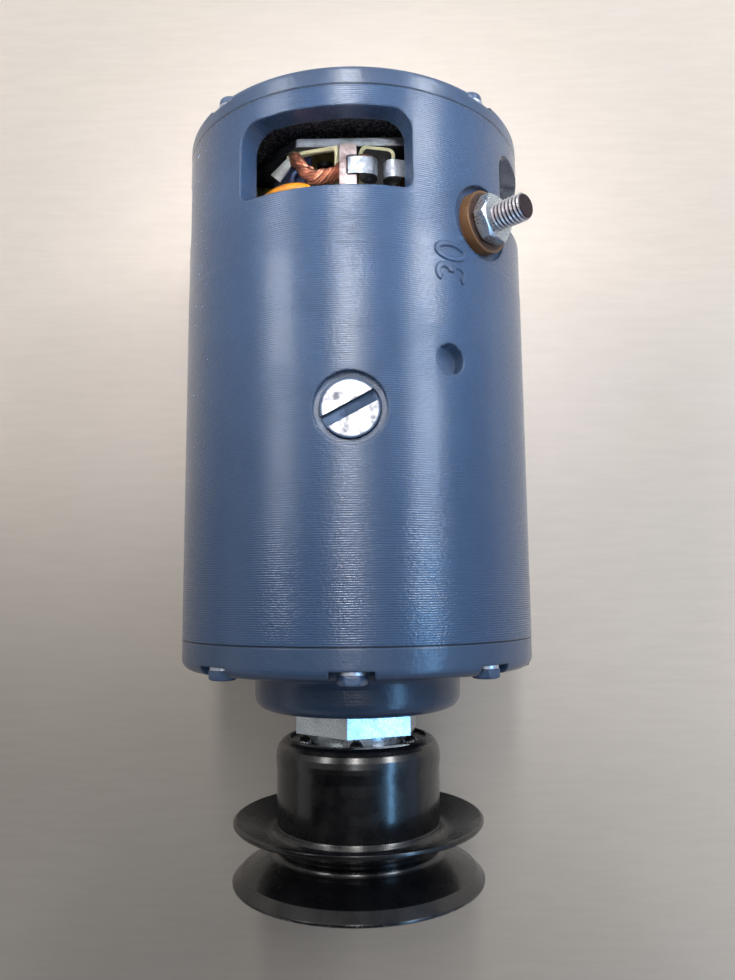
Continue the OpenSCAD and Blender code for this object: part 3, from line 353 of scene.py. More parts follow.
@dataclass(frozen=True)
class WorkedMetal:
    """Bare or plated metal with tool marks, stains and a soft shine on its edges."""

    name: str
    colour: Colour
    stain: Colour
    stains: float = 0.35
    roughness: float = 0.3
    grain: Grain = Grain.CROSSED
    marks: float = 1.6
    depth: float = 0.01
    edge: float = 0.25
    # Painted shade: past this place along the shaft, the colour turns near black and the metal stops shining.
    shade_beyond: float = 0.0
    paint: Colour = (0.004, 0.0045, 0.006)
    metallic: float = 1.0
    flats_from: float = 0.0
    head: Optional[RoundPatch] = None
    dark: Colour = (0.012, 0.014, 0.022)

    def build(self) -> bpy.types.Material:
        """Builds the metal.

        Returns:
            The material.
        """
        s = Shader(self.name)
        x, y, z = s.split()
        lines = s.noise(self.marks, 4, 0.65, s.stretch(self.grain.value))
        pits = s.remap(s.noise(1.7, 3, 0.6), 0.62, 0.72)
        share = s.remap(s.noise(0.22, 5, 0.62), 0.42, 0.68, 0.0, self.stains)
        base = s.blend(share, self.colour, self.stain)
        base = s.blend(s.times(pits, 0.5 * self.stains), base, self.stain)
        metal: Value = self.metallic
        # Painted shade: near black and not metallic past a place along the shaft, as on the hub's short collar
        # under the hexagon.
        if self.shade_beyond:
            bare = s.remap(y, self.shade_beyond - 0.15, self.shade_beyond + 0.15)
            base = s.blend(bare, self.paint, base)
            metal = s.times(bare, self.metallic)
        if self.flats_from:
            flat = s.calc("MAXIMUM", s.size(x), s.size(z))
            base = s.blend(s.remap(flat, self.flats_from - 0.3, self.flats_from + 0.1), self.dark, base)
        if self.head:
            base = s.blend(self.head.share(s), self.dark, base)
        rough = s.plus(s.remap(lines, 0.25, 0.75, self.roughness - 0.08, self.roughness + 0.1),
                       s.times(share, 0.35))
        height = s.minus(lines, s.times(pits, 0.6))
        return s.close(Base_Color=base, Metallic=metal, Roughness=rough,
                       Normal=s.relief(height, self.depth, s.rounded(self.edge)))


@dataclass(frozen=True)
class RimmedZinc:
    """Yellow-passivated zinc on sheet boxes, painted darker inside as shade and pale cream along their rims as
    a painted highlight.
    """

    name: str
    # Colour of the boxes' insides, darker as painted shade.
    inside: Colour = linear(112, 106, 66)
    # Pale cream of the rims: a painted highlight where they face up.
    lit_rim: Colour = linear(226, 222, 186)
    dirt: Colour = (0.05, 0.045, 0.02)
    rim_radius: float = 34.9

    def build(self) -> bpy.types.Material:
        """Builds the finish.

        Returns:
            The material.
        """
        s = Shader(self.name)
        x, _, z = s.split()
        wander = s.minus(s.noise(0.6, 3), 0.5)
        near = s.remap(s.plus(s.far(x, z), wander), self.rim_radius - 0.5, self.rim_radius + 0.2)
        cloud = s.remap(s.noise(0.4, 4, 0.6), 0.35, 0.7, 0.0, 0.5)
        # Painted light: the rims are pale cream and less metallic, and the insides darker, as lit and shaded
        # copies of one zinc.
        base = s.blend(near, s.blend(cloud, self.inside, self.dirt), self.lit_rim)
        return s.close(Base_Color=base, Metallic=s.remap(near, 0.0, 1.0, 0.6, 0.15), Roughness=0.48,
                       Normal=s.relief(s.noise(1.8, 4, 0.6), 0.02, s.rounded(0.4)))


@dataclass(frozen=True)
class GlossBlack:
    """Black stoving enamel on pressed sheet, with dust specks and a scuffed end flange."""

    name: str
    colour: Colour = (0.0018, 0.002, 0.003)
    dusty: Colour = (0.03, 0.032, 0.036)
    scuffed: Colour = (0.42, 0.43, 0.45)
    roughness: float = 0.22
    scuff_y: float = -153.1

    def build(self) -> bpy.types.Material:
        """Builds the enamel.

        Returns:
            The material.
        """
        s = Shader(self.name)
        _, y, _ = s.split()
        edge = s.remap(y, self.scuff_y - 0.5, self.scuff_y + 0.5, 1.0, 0.0)
        scuff = s.times(edge, s.remap(s.noise(0.5, 4, 0.7), 0.56, 0.62))
        dust = s.remap(s.noise(3.2, 2, 0.6), 0.7, 0.76, 0.0, 0.5)
        base = s.blend(scuff, s.blend(dust, self.colour, self.dusty), self.scuffed)
        rough = s.plus(s.remap(s.noise(0.16, 4), 0.3, 0.7, self.roughness, self.roughness + 0.12),
                       s.times(dust, 0.3))
        height = s.plus(s.times(s.noise(1.4, 3), 0.012), s.times(dust, 0.01))
        normal = s.relief(height, 1.0, s.rounded(0.35))
        return s.close(Base_Color=base, Roughness=rough, Coat_Weight=0.35, Coat_Roughness=0.14,
                       Normal=normal, Coat_Normal=normal)


@dataclass(frozen=True)
class Grainy:
    """A dull material with two mixed tones, such as carbon, felt, moulding or fibre."""

    name: str
    colour: Colour
    other: Colour
    size: float = 1.2
    layers: Sequence[float] = (1.0, 1.0, 1.0)
    roughness: float = 0.7
    depth: float = 0.03
    sheen: float = 0.0

    def build(self) -> bpy.types.Material:
        """Builds the material.

        Returns:
            The material.
        """
        s = Shader(self.name)
        fine = s.noise(self.size, 5, 0.65, s.stretch(self.layers))
        broad = s.noise(self.size * 0.15, 3)
        share = s.times(s.remap(fine, 0.32, 0.68), s.remap(broad, 0.3, 0.7, 0.5, 1.0))
        rough = s.remap(broad, 0.3, 0.7, self.roughness - 0.08, self.roughness + 0.08)
        return s.close(Base_Color=s.blend(share, self.colour, self.other), Roughness=rough,
                       Sheen_Weight=self.sheen, Normal=s.relief(fine, self.depth, s.rounded(0.2)))


@dataclass(frozen=True)
class Banded:
    """Tape, sheet stacks or sleeving: bands across one direction, with dirt between them."""

    name: str
    colour: Colour
    groove: Colour
    pitch: float = 4.0
    lean: float = 0.0
    depth: float = 0.15
    roughness: float = 0.6
    metallic: float = 0.0

    def build(self) -> bpy.types.Material:
        """Builds the material.

        Returns:
            The material.
        """
        s = Shader(self.name)
        x, y, z = s.split()
        along = s.plus(y, s.times(s.plus(x, z), self.lean))
        wander = s.times(s.noise(0.2, 2), 0.5 * self.pitch)
        phase = s.calc("FRACT", s.calc("DIVIDE", s.plus(along, wander), self.pitch))
        groove = s.remap(s.size(s.minus(phase, 0.5)), 0.38, 0.5)
        weave = s.noise(2.4, 3, 0.6)
        dirt = s.times(s.remap(s.noise(0.3, 4), 0.4, 0.7), 0.5)
        base = s.blend(s.calc("MAXIMUM", groove, dirt), self.colour, self.groove)
        height = s.minus(s.times(weave, 0.25), groove)
        return s.close(Base_Color=base, Metallic=self.metallic, Roughness=self.roughness,
                       Normal=s.relief(height, self.depth))


@dataclass(frozen=True)
class TableCard:
    """The pale card that the machine lies on, with faint ribs across it and painted shade that darkens it
    towards its near left.
    """

    name: str = "table_card"
    colour: Colour = linear(222, 212, 200)
    rib: Colour = linear(204, 194, 182)
    worn: Colour = linear(214, 208, 203)
    near_edge: float = -212.0

    def build(self) -> bpy.types.Material:
        """Builds the card.

        Returns:
            The material.
        """
        s = Shader(self.name)
        ribs = s.noise(0.42, 4, 0.65, s.stretch((0.12, 1.0, 1.0)))
        base = s.blend(s.times(s.remap(ribs, 0.35, 0.65), 0.25), self.colour, self.rib)
        base = s.blend(s.remap(s.noise(0.01, 3), 0.3, 0.7, 0.0, 0.3), base, self.worn)
        # Painted shade: the card's colour darkens towards its near edge and its left side, as a shadow over it.
        x, y, _ = s.split()
        up = s.calc("MAXIMUM", s.minus(y, self.near_edge), -40.0)
        level = s.times(up, s.calc("MULTIPLY_ADD", up, 0.000015, 0.00143))
        level = s.plus(s.calc("MULTIPLY_ADD", x, 0.0024, 0.24), level)
        base = s.blend(s.remap(level, 0.0, 1.0, 0.52, 0.06), base, (0.0, 0.0, 0.0))
        return s.close(Base_Color=base, Roughness=0.62, Normal=s.relief(ribs, 0.05))


class Geometry(Nodes):
    """A Geometry Nodes tree in the making, whose result is turned into a plain mesh."""

    def __init__(self, name: str, inputs: dict[str, tuple[str, object]]) -> None:
        """Starts a tree.

        Args:
            name: Name of the tree.
            inputs: Socket type and first value of each named input.
        """
        super().__init__(bpy.data.node_groups.new(name, "GeometryNodeTree"))
        self.name = name
        face = self.tree.interface
        face.new_socket("Geometry", in_out="INPUT", socket_type="NodeSocketGeometry")
        face.new_socket("Geometry", in_out="OUTPUT", socket_type="NodeSocketGeometry")
        self.ids = {}
        for key, (kind, value) in {**inputs, "Material": ("Material", None)}.items():
            socket = face.new_socket(key, in_out="INPUT", socket_type=f"NodeSocket{kind}")
            if value is not None:
                socket.default_value = value
            self.ids[key] = socket.identifier
        self.given = self.tree.nodes.new("NodeGroupInput").outputs
        self.out = self.tree.nodes.new("NodeGroupOutput")

    def vector(self, operation: str, a: Value, b: Value = (0, 0, 0), scale: Value = 1.0) -> Socket:
        """One step of vector arithmetic."""
        return self.add("ShaderNodeVectorMath", {0: a, 1: b, 3: scale}, operation=operation).outputs[0]

    def end(self, result: Socket, smooth: bool = True) -> None:
        """Ends the tree in plain meshes with the finish set on them.

        Args:
            result: Geometry to end with.
            smooth: Whether its faces are shaded smooth.
        """
        real = self.add("GeometryNodeRealizeInstances", {0: result}).outputs[0]
        shade = self.add("GeometryNodeSetShadeSmooth", {"Geometry": real, "Shade Smooth": smooth}).outputs[0]
        done = self.add("GeometryNodeSetMaterial", {"Geometry": shade, "Material": self.given["Material"]})
        self.tree.links.new(done.outputs[0], self.out.inputs[0])

    def bake(self, name: str, data: Union[bpy.types.Mesh, bpy.types.Curve], finish: bpy.types.Material,
             **values: object) -> bpy.types.Object:
        """Runs the tree on a mesh or curve.

        Args:
            name: Name of the new piece.
            data: What the tree starts from.
            finish: Material of the result.
            **values: Values of the named inputs, with underscores for spaces.

        Returns:
            A new object with a plain mesh.
        """
        seed = bpy.data.objects.new(name + "_seed", data)
        bpy.context.scene.collection.objects.link(seed)
        nodes = seed.modifiers.new(self.name, "NODES")
        nodes.node_group = self.tree
        nodes[self.ids["Material"]] = finish
        for key, value in values.items():
            nodes[self.ids[key.replace("_", " ")]] = value
        graph = bpy.context.evaluated_depsgraph_get()
        mesh = bpy.data.meshes.new_from_object(seed.evaluated_get(graph), depsgraph=graph)
        seed.modifiers.remove(nodes)
        bpy.data.objects.remove(seed)
        mesh.name = name
        return new_piece(name, mesh)


def new_piece(name: str, mesh: bpy.types.Mesh, finish: Optional[bpy.types.Material] = None,
              smooth_angle: float = 40.0) -> bpy.types.Object:
    """Puts a mesh in the scene as a piece at the origin.

    Args:
        name: Name of the piece.
        mesh: Its mesh, in the part's frame.
        finish: Material, when the mesh has none yet.
        smooth_angle: Edges sharper than this, in degrees, stay sharp.

    Returns:
        The new object.
    """
    if finish:
        mesh.materials.clear()
        mesh.materials.append(finish)
    work = bmesh.new()
    work.from_mesh(mesh)
    bmesh.ops.remove_doubles(work, verts=work.verts, dist=1e-6)
    bmesh.ops.recalc_face_normals(work, faces=work.faces)
    limit = math.radians(smooth_angle)
    for face in work.faces:
        face.smooth = True
    for edge in work.edges:
        edge.smooth = edge.is_manifold and edge.calc_face_angle(0.0) < limit
    work.to_mesh(mesh)
    work.free()
    piece = bpy.data.objects.new(name, mesh)
    bpy.context.scene.collection.objects.link(piece)
    return piece


def mesh_of(name: str, verts: Iterable[Vector], faces: Iterable[Sequence[int]]) -> bpy.types.Mesh:
    """A mesh from points and faces."""
    mesh = bpy.data.meshes.new(name)
    mesh.from_pydata([tuple(v) for v in verts], [], [tuple(f) for f in faces])
    return mesh


def slab(outline: Sequence[tuple[float, float]], low: float, high: float, edge: float) -> bpy.types.Mesh:
    """A flat plate that lies over the shaft at the top, with softened edges.

    Args:
        outline: Points across and along the shaft, in millimetres.
        low: Distance of its underside from the shaft axis.
        high: Distance of its top from the shaft axis.
        edge: Width of the softened edges.

    Returns:
        The mesh.
    """
    work = bmesh.new()
    ring = [work.verts.new(Vector((x, y, low)) * MM) for x, y in outline]
    face = work.faces.new(ring)
    grown = bmesh.ops.extrude_face_region(work, geom=[face])
    tops = [v for v in grown["geom"] if isinstance(v, bmesh.types.BMVert)]
    bmesh.ops.translate(work, verts=tops, vec=(0, 0, (high - low) * MM))
    bmesh.ops.recalc_face_normals(work, faces=work.faces)
    sharp = [e for e in work.edges if e.calc_face_angle(0.0) > math.radians(40)]
    bmesh.ops.bevel(work, geom=sharp, offset=edge * MM, segments=2, profile=0.5, affect="EDGES")
    mesh = bpy.data.meshes.new("slab")
    work.to_mesh(mesh)
    work.free()
    return mesh


def joined(name: str, meshes: Sequence[bpy.types.Mesh]) -> bpy.types.Mesh:
    """Several meshes with one finish as one mesh.

    Args:
        name: Name of the whole.
        meshes: The meshes, of which the first brings the finish.

    Returns:
        The whole.
    """
    work = bmesh.new()
    for mesh in meshes:
        work.from_mesh(mesh)
    for face in work.faces:
        face.material_index = 0
    whole = bpy.data.meshes.new(name)
    if meshes[0].materials:
        whole.materials.append(meshes[0].materials[-1])
    work.to_mesh(whole)
    work.free()
    return whole


def standing(turn: float, y: float) -> Matrix:
    """Takes a shape that stands on the shaft axis and points up to a turn and a place along the shaft."""
    return Matrix.Rotation(math.radians(turn), 4, "Y") @ Matrix.Translation((0, y * MM, 0))


def smooth_path(points: Sequence[Vector], steps: int) -> list[Vector]:
    """A smooth path through points.

    Args:
        points: Points on the path.
        steps: Number of steps between each pair of points.

    Returns:
        The points of the smooth path.
    """
    path = []
    for i in range(len(points) - 1):
        a, b = points[max(i - 1, 0)], points[i]
        c, d = points[i + 1], points[min(i + 2, len(points) - 1)]
        for k in range(steps):
            t = k / steps
            path.append(0.5 * (2 * b + (c - a) * t + (2 * a - 5 * b + 4 * c - d) * t ** 2
                               + (3 * b - a - 3 * c + d) * t ** 3))
    return path + [points[-1]]


def curve_of(name: str, paths: Sequence[Sequence[Vector]]) -> bpy.types.Curve:
    """A curve with one spline of straight steps for each path.

    Args:
        name: Name of the curve.
        paths: Points of each path.

    Returns:
        The curve.
    """
    curve = bpy.data.curves.new(name, "CURVE")
    curve.dimensions = "3D"
    for path in paths:
        spline = curve.splines.new("POLY")
        spline.points.add(len(path) - 1)
        for point, place in zip(spline.points, path):
            point.co = (*place, 1.0)
    return curve


def thread_tree() -> Geometry:
    """A screw thread that stands on the origin and points up, with a turned-off end.

    Returns:
        The tree, with the inputs Radius, Depth, Pitch, Length and Chamfer in metres, and Rows.
    """
    g = Geometry("screw_thread", {"Radius": ("Float", 0.004), "Depth": ("Float", 0.0006),
                                  "Pitch": ("Float", 0.00125), "Length": ("Float", 0.01),
                                  "Chamfer": ("Float", 0.0008), "Rows": ("Int", 120)})
    length, end_r = g.given["Length"], g.minus(g.given["Radius"], g.given["Chamfer"])
    grid = g.add("GeometryNodeMeshGrid", {"Size X": 1.0, "Size Y": 1.0, "Vertices X": 49,
                                          "Vertices Y": g.given["Rows"]}).outputs[0]
    spot = g.add("GeometryNodeInputPosition", {}).outputs[0]
    x, y, _ = g.add("ShaderNodeSeparateXYZ", {0: spot}).outputs
    turn = g.plus(x, 0.5)
    high = g.times(g.plus(y, 0.5), length)
    phase = g.calc("FRACT", g.plus(g.minus(g.calc("DIVIDE", high, g.given["Pitch"]), turn), 64.0))
    ridge = g.size(g.minus(g.times(phase, 2.0), 1.0))
    ridge = g.add("ShaderNodeMapRange", {0: ridge, 1: 0.12, 2: 0.88}).outputs[0]
    radius = g.minus(g.given["Radius"], g.times(ridge, g.given["Depth"]))
    over = g.minus(high, g.minus(length, g.given["Chamfer"]))
    radius = g.calc("MINIMUM", radius, g.minus(g.given["Radius"], g.calc("MAXIMUM", over, 0.0)))
    angle = g.times(turn, math.tau)
    place = g.add("ShaderNodeCombineXYZ", {0: g.times(radius, g.calc("COSINE", angle)),
                                           1: g.times(radius, g.calc("SINE", angle)), 2: high}).outputs[0]
    side = g.add("GeometryNodeSetPosition", {"Geometry": grid, "Position": place}).outputs[0]
    cap = g.add("GeometryNodeMeshCircle", {"Vertices": 48, "Radius": end_r}, fill_type="NGON").outputs[0]
    lift = g.add("ShaderNodeCombineXYZ", {2: length}).outputs[0]
    cap = g.add("GeometryNodeTransform", {"Geometry": cap, "Translation": lift}).outputs[0]
    join = g.add("GeometryNodeJoinGeometry", {})
    g.tree.links.new(side, join.inputs[0])
    g.tree.links.new(cap, join.inputs[0])
    g.end(g.add("GeometryNodeMergeByDistance", {"Geometry": join.outputs[0], "Distance": 0.00001}).outputs[0])
    return g


def rope_tree() -> Geometry:
    """Strands twisted round each curve that it is given.

    Returns:
        The tree, with the inputs Strands, Lay radius, Strand radius, Twists, Belly, Sides and Seed.
    """
    g = Geometry("twisted_rope", {"Strands": ("Int", 7), "Lay radius": ("Float", 0.0012),
                                  "Strand radius": ("Float", 0.0006), "Twists": ("Float", 4.0),
                                  "Belly": ("Float", 0.0), "Sides": ("Int", 7), "Seed": ("Int", 3)})
    line = g.add("GeometryNodeResampleCurve", {"Curve": g.given["Geometry"], "Count": 90}).outputs[0]
    copies = g.add("GeometryNodeDuplicateElements", {"Geometry": line, "Amount": g.given["Strands"]},
                   domain="SPLINE")
    share = g.calc("DIVIDE", copies.outputs[1], g.given["Strands"])
    along = g.add("GeometryNodeSplineParameter", {}).outputs[0]
    angle = g.times(g.plus(share, g.times(along, g.given["Twists"])), math.tau)
    normal = g.add("GeometryNodeInputNormal", {}).outputs[0]
    tangent = g.add("GeometryNodeInputTangent", {}).outputs[0]
    across = g.vector("CROSS_PRODUCT", normal, tangent)
    loose = g.add("ShaderNodeTexNoise", {"Scale": 520.0, "Detail": 1.0,
                                         "W": g.plus(g.given["Seed"], g.times(share, 9.0))},
                  noise_dimensions="4D").outputs[0]
    radius = g.times(g.given["Lay radius"], g.plus(g.times(loose, 1.1), 0.4))
    middle = g.calc("SINE", g.times(along, math.pi))
    radius = g.times(radius, g.plus(g.times(middle, g.given["Belly"]), 1.0))
    side = g.vector("SCALE", normal, scale=g.times(radius, g.calc("COSINE", angle)))
    rise = g.vector("SCALE", across, scale=g.times(radius, g.calc("SINE", angle)))
    moved = g.add("GeometryNodeSetPosition", {"Geometry": copies.outputs[0],
                                              "Offset": g.vector("ADD", side, rise)}).outputs[0]
    ring = g.add("GeometryNodeCurvePrimitiveCircle", {"Resolution": g.given["Sides"],
                                                      "Radius": g.given["Strand radius"]}).outputs[0]
    tube = g.add("GeometryNodeCurveToMesh", {"Curve": moved, "Profile Curve": ring, "Fill Caps": True})
    g.end(tube.outputs[0])
    return g


def ring_tree() -> Geometry:
    """Copies of a shape set round the shaft.

    Returns:
        The tree, with the inputs Count and First turn in radians.
    """
    g = Geometry("ring_of_copies", {"Count": ("Int", 6), "First turn": ("Float", 0.0)})
    row = g.add("GeometryNodeMeshLine", {"Count": g.given["Count"], "Offset": (0, 0, 0)}, mode="OFFSET")
    index = g.add("GeometryNodeInputIndex", {}).outputs[0]
    step = g.calc("DIVIDE", math.tau, g.given["Count"])
    turn = g.plus(g.given["First turn"], g.times(index, step))
    spin = g.add("ShaderNodeCombineXYZ", {1: turn}).outputs[0]
    copies = g.add("GeometryNodeInstanceOnPoints", {"Points": row.outputs[0], "Instance": g.given["Geometry"],
                                                    "Rotation": spin}).outputs[0]
    g.end(copies)
    return g


class FinishBook:
    """Every finish of the machine, by the record's slot names and by the scene's own names."""

    def __init__(self) -> None:
        """Builds all materials once."""
        finishes = [
            HousingPaint("housing_paint"),
            HousingPaint("shield_paint", groove=0.012, pitch=0.9, cast=0.12, roughness=0.3, peel=0.02,
                         colour=(0.042, 0.08, 0.16), pale=(0.05, 0.092, 0.18), bare_inside=78.6),
            HousingPaint("bolt_paint", groove=0.0, cast=0.02, roughness=0.28, seam=500.0),
            WorkedMetal("spring_steel", linear(190, 198, 212), linear(74, 78, 90), 0.6, 0.38, metallic=0.85),
            # Painted shade: the slot floor, below 54.1 mm from the shaft axis, and the rim of each head are
            # darkened to dark blue grey.
            WorkedMetal("screw_face", linear(214, 214, 218), linear(96, 98, 108), 0.9, 0.34, marks=2.2,
                        depth=0.03, metallic=0.7, flats_from=54.1, head=RoundPatch(False, -15, 7.9, 7.4),
                        dark=(0.035, 0.06, 0.11)),
            WorkedMetal("tin_strip", linear(232, 236, 240), linear(160, 164, 172), 0.6, 0.42, metallic=0.45),
            WorkedMetal("bare_steel", linear(205, 205, 208), linear(110, 104, 100), 0.4, 0.24, depth=0.012),
            WorkedMetal("zinc_steel", linear(196, 204, 210), linear(150, 166, 186), 0.25, 0.26, depth=0.006,
                        metallic=0.85),
            # The hub's short collar under the hexagon is near black as painted shade.
            WorkedMetal("yellow_zinc", linear(200, 180, 148), linear(112, 100, 78), 0.7, 0.6, marks=1.2,
                        depth=0.05, shade_beyond=-108.4, metallic=0.6),
            Banded("pole_iron", linear(92, 92, 98), linear(40, 38, 38), 0.8, depth=0.02, roughness=0.45,
                   metallic=0.8),
            Banded("core_steel", linear(120, 122, 128), linear(48, 42, 38), 0.7, depth=0.03, roughness=0.4,
                   metallic=1.0),
            Banded("coil_tape", linear(118, 70, 34), linear(52, 28, 14), 9.0, 0.35, 0.25, 0.45),
            WorkedMetal("copper", linear(206, 128, 92), linear(92, 48, 34), 0.6, 0.32),
            Grainy("yellow_sleeve", linear(226, 152, 18), linear(180, 96, 8), 0.9, roughness=0.35, depth=0.02),
            # Painted shade: within 8.4 mm of the main stud's axis the insulator keeps the dark brown first
            # colour, the shaded top of its disc; beyond 8.7 mm it is tan.
            WorkedMetal("insulation", linear(60, 38, 28), linear(24, 14, 10), 0.6, 0.3, depth=0.02,
                        metallic=0.0, head=RoundPatch(True, 44, 8.7, 8.4), dark=linear(112, 80, 48)),
            Grainy("dark_moulding", linear(38, 24, 20), linear(18, 12, 10), 1.0, roughness=0.4, depth=0.01),
            WorkedMetal("dark_steel", linear(92, 94, 100), linear(40, 36, 36), 0.6, 0.4, depth=0.015),
            Grainy("carbon", linear(40, 40, 42), linear(20, 20, 22), 2.0, roughness=0.5, depth=0.01),
            Grainy("felt", linear(120, 112, 96), linear(70, 62, 50), 1.6, roughness=0.95, depth=0.15,
                   sheen=0.4),
            WorkedMetal("bearing_steel", linear(176, 180, 188), linear(120, 120, 124), 0.2, 0.16,
                        Grain.AROUND_SHAFT, 2.0, 0.003),
            WorkedMetal("cage_brass", linear(190, 160, 96), linear(120, 90, 50), 0.4, 0.35, depth=0.008),
            GlossBlack("pulley_black"),
            RimmedZinc("olive_zinc"),
            WorkedMetal("pink_steel", linear(206, 190, 190), linear(120, 98, 98), 0.8, 0.5, depth=0.02,
                        metallic=0.6),
            WorkedMetal("plate_steel", linear(196, 204, 218), linear(120, 124, 134), 0.5, 0.5, metallic=0.5,
                        flats_from=35.2),
            WorkedMetal("blued_steel", linear(60, 72, 104), linear(24, 26, 40), 0.5, 0.35, metallic=0.8),
            # Painted shade: the main stud's thread roots and core, within 3.35 mm of its axis, are darkened.
            WorkedMetal("stud_steel", linear(210, 208, 214), linear(110, 96, 96), 0.5, 0.3, depth=0.006,
                        edge=0.05, metallic=0.7, head=RoundPatch(True, 44, 3.35, 3.85),
                        dark=(0.03, 0.016, 0.024)),
            Banded("braid_copper", linear(224, 150, 122), linear(74, 36, 28), 0.7, 1.2, 0.12, 0.34, 0.85),
        ]
        self.materials = {finish.name: finish.build() for finish in finishes}

    def __getitem__(self, name: str) -> bpy.types.Material:
        """The material with this name."""
        return self.materials[name]

    def dress(self, nodes: dict[str, bpy.types.Object]) -> None:
        """Puts the finishes on the CAD nodes, from the names of their slots.

        Args:
            nodes: CAD nodes by name.
        """
        own = {"brush_boxes": "olive_zinc", "lead_boxes": "olive_zinc", "spring_brackets": "pink_steel",
               "brush_plate": "plate_steel", "lead_screws": "blued_steel", "pole_screws": "screw_face"}
        for name, node in nodes.items():
            for place in node.material_slots:
                slot = place.material.name.split(".")[0]
                place.material = self.materials[own.get(name, slot)]
            log.info("dressed %s", name)


def adopt(piece: bpy.types.Object, body: Body, slot: str, *nodes: str) -> bpy.types.Object:
    """Makes a piece ride on a body and stand for CAD nodes.

    Args:
        piece: The new piece.
        body: The body that it moves with.
        slot: The record's material slot of its finish; not used.
        *nodes: CAD nodes that it replaces.

    Returns:
        The piece.
    """
    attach(piece, body.value)
    if nodes:
        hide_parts(*nodes)
    log.info("piece %s on %s, %d faces", piece.name, body.value, len(piece.data.polygons))
    return piece


@dataclass(frozen=True)
class Stud:
    """Sizes of one kind of threaded terminal stud, in millimetres from the shaft axis and along it."""

    thread_r: float
    thread_depth: float
    pitch: float
    foot_w: float
    foot_low: float
    nut_top: float
    end: float
    turn: float
    places: Sequence[float]
    foot_h: float = 3.8
    rows_per_turn: int = 14


@dataclass
class Terminals:
    """The threaded studs of the main terminal and of the two field terminals."""

    finishes: FinishBook
    main: Stud = Stud(3.98, 0.66, 1.25, 12, 42.7, 61.4, 70.98, 45.0, (44.0,))
    field: Stud = Stud(2.48, 0.44, 0.8, 8, 44.5, 61.6, 65.98, 128.0, (35.5, 52.5))

    def bar(self, sides: int, radius: float, low: float, high: float) -> bpy.types.Mesh:
        """A straight bar that points up from the shaft axis.

        Args:
            sides: Number of its sides.
            radius: Distance of its corners from its middle line.
            low: Height of its foot.
            high: Height of its top.

        Returns:
            The mesh.
        """
        work = bmesh.new()
        bmesh.ops.create_cone(work, cap_ends=True, segments=sides, radius1=radius * MM, radius2=radius * MM,
                              depth=(high - low) * MM)
        mesh = bpy.data.meshes.new("stud_part")
        work.to_mesh(mesh)
        work.free()
        mesh.transform(Matrix.Translation((0, 0, (low + high) / 2 * MM)))
        return mesh

    def stud(self, tree: Geometry, sizes: Stud, y: float) -> list[bpy.types.Mesh]:
        """One stud: its thread, its hexagon foot inside the housing and its core.

        Args:
            tree: The thread's tree.
            sizes: Sizes of the stud.
            y: Place along the shaft.

        Returns:
            Meshes in the part's frame.
        """
        start = sizes.nut_top - 1.0
        length = sizes.end - start
        thread = tree.bake("thread", bpy.data.meshes.new("blank"), self.finishes["stud_steel"],
                           Radius=sizes.thread_r * MM, Depth=sizes.thread_depth * MM, Pitch=sizes.pitch * MM,
                           Length=length * MM, Chamfer=sizes.thread_depth * 1.15 * MM,
                           Rows=int(length / sizes.pitch * sizes.rows_per_turn))
        thread.data.transform(Matrix.Translation((0, 0, start * MM)))
        parts = [thread.data,
                 self.bar(6, sizes.foot_w / math.sqrt(3), sizes.foot_low, sizes.foot_low + sizes.foot_h),
                 self.bar(32, sizes.thread_r - sizes.thread_depth, sizes.foot_low + 2, start + 0.5)]
        bpy.data.objects.remove(thread)
        for part in parts:
            part.transform(standing(sizes.turn, y))
        return parts

    def build(self) -> None:
        """Makes the studs and puts them on the housing."""
        tree = thread_tree()
        for name, sizes, node in (("main_terminal_stud", self.main, "terminal_stud"),
                                  ("field_studs", self.field, "field_terminal_studs")):
            parts = [part for y in sizes.places for part in self.stud(tree, sizes, y)]
            adopt(new_piece(name, joined(name, parts)), Body.HOUSING, "bare_steel", node)


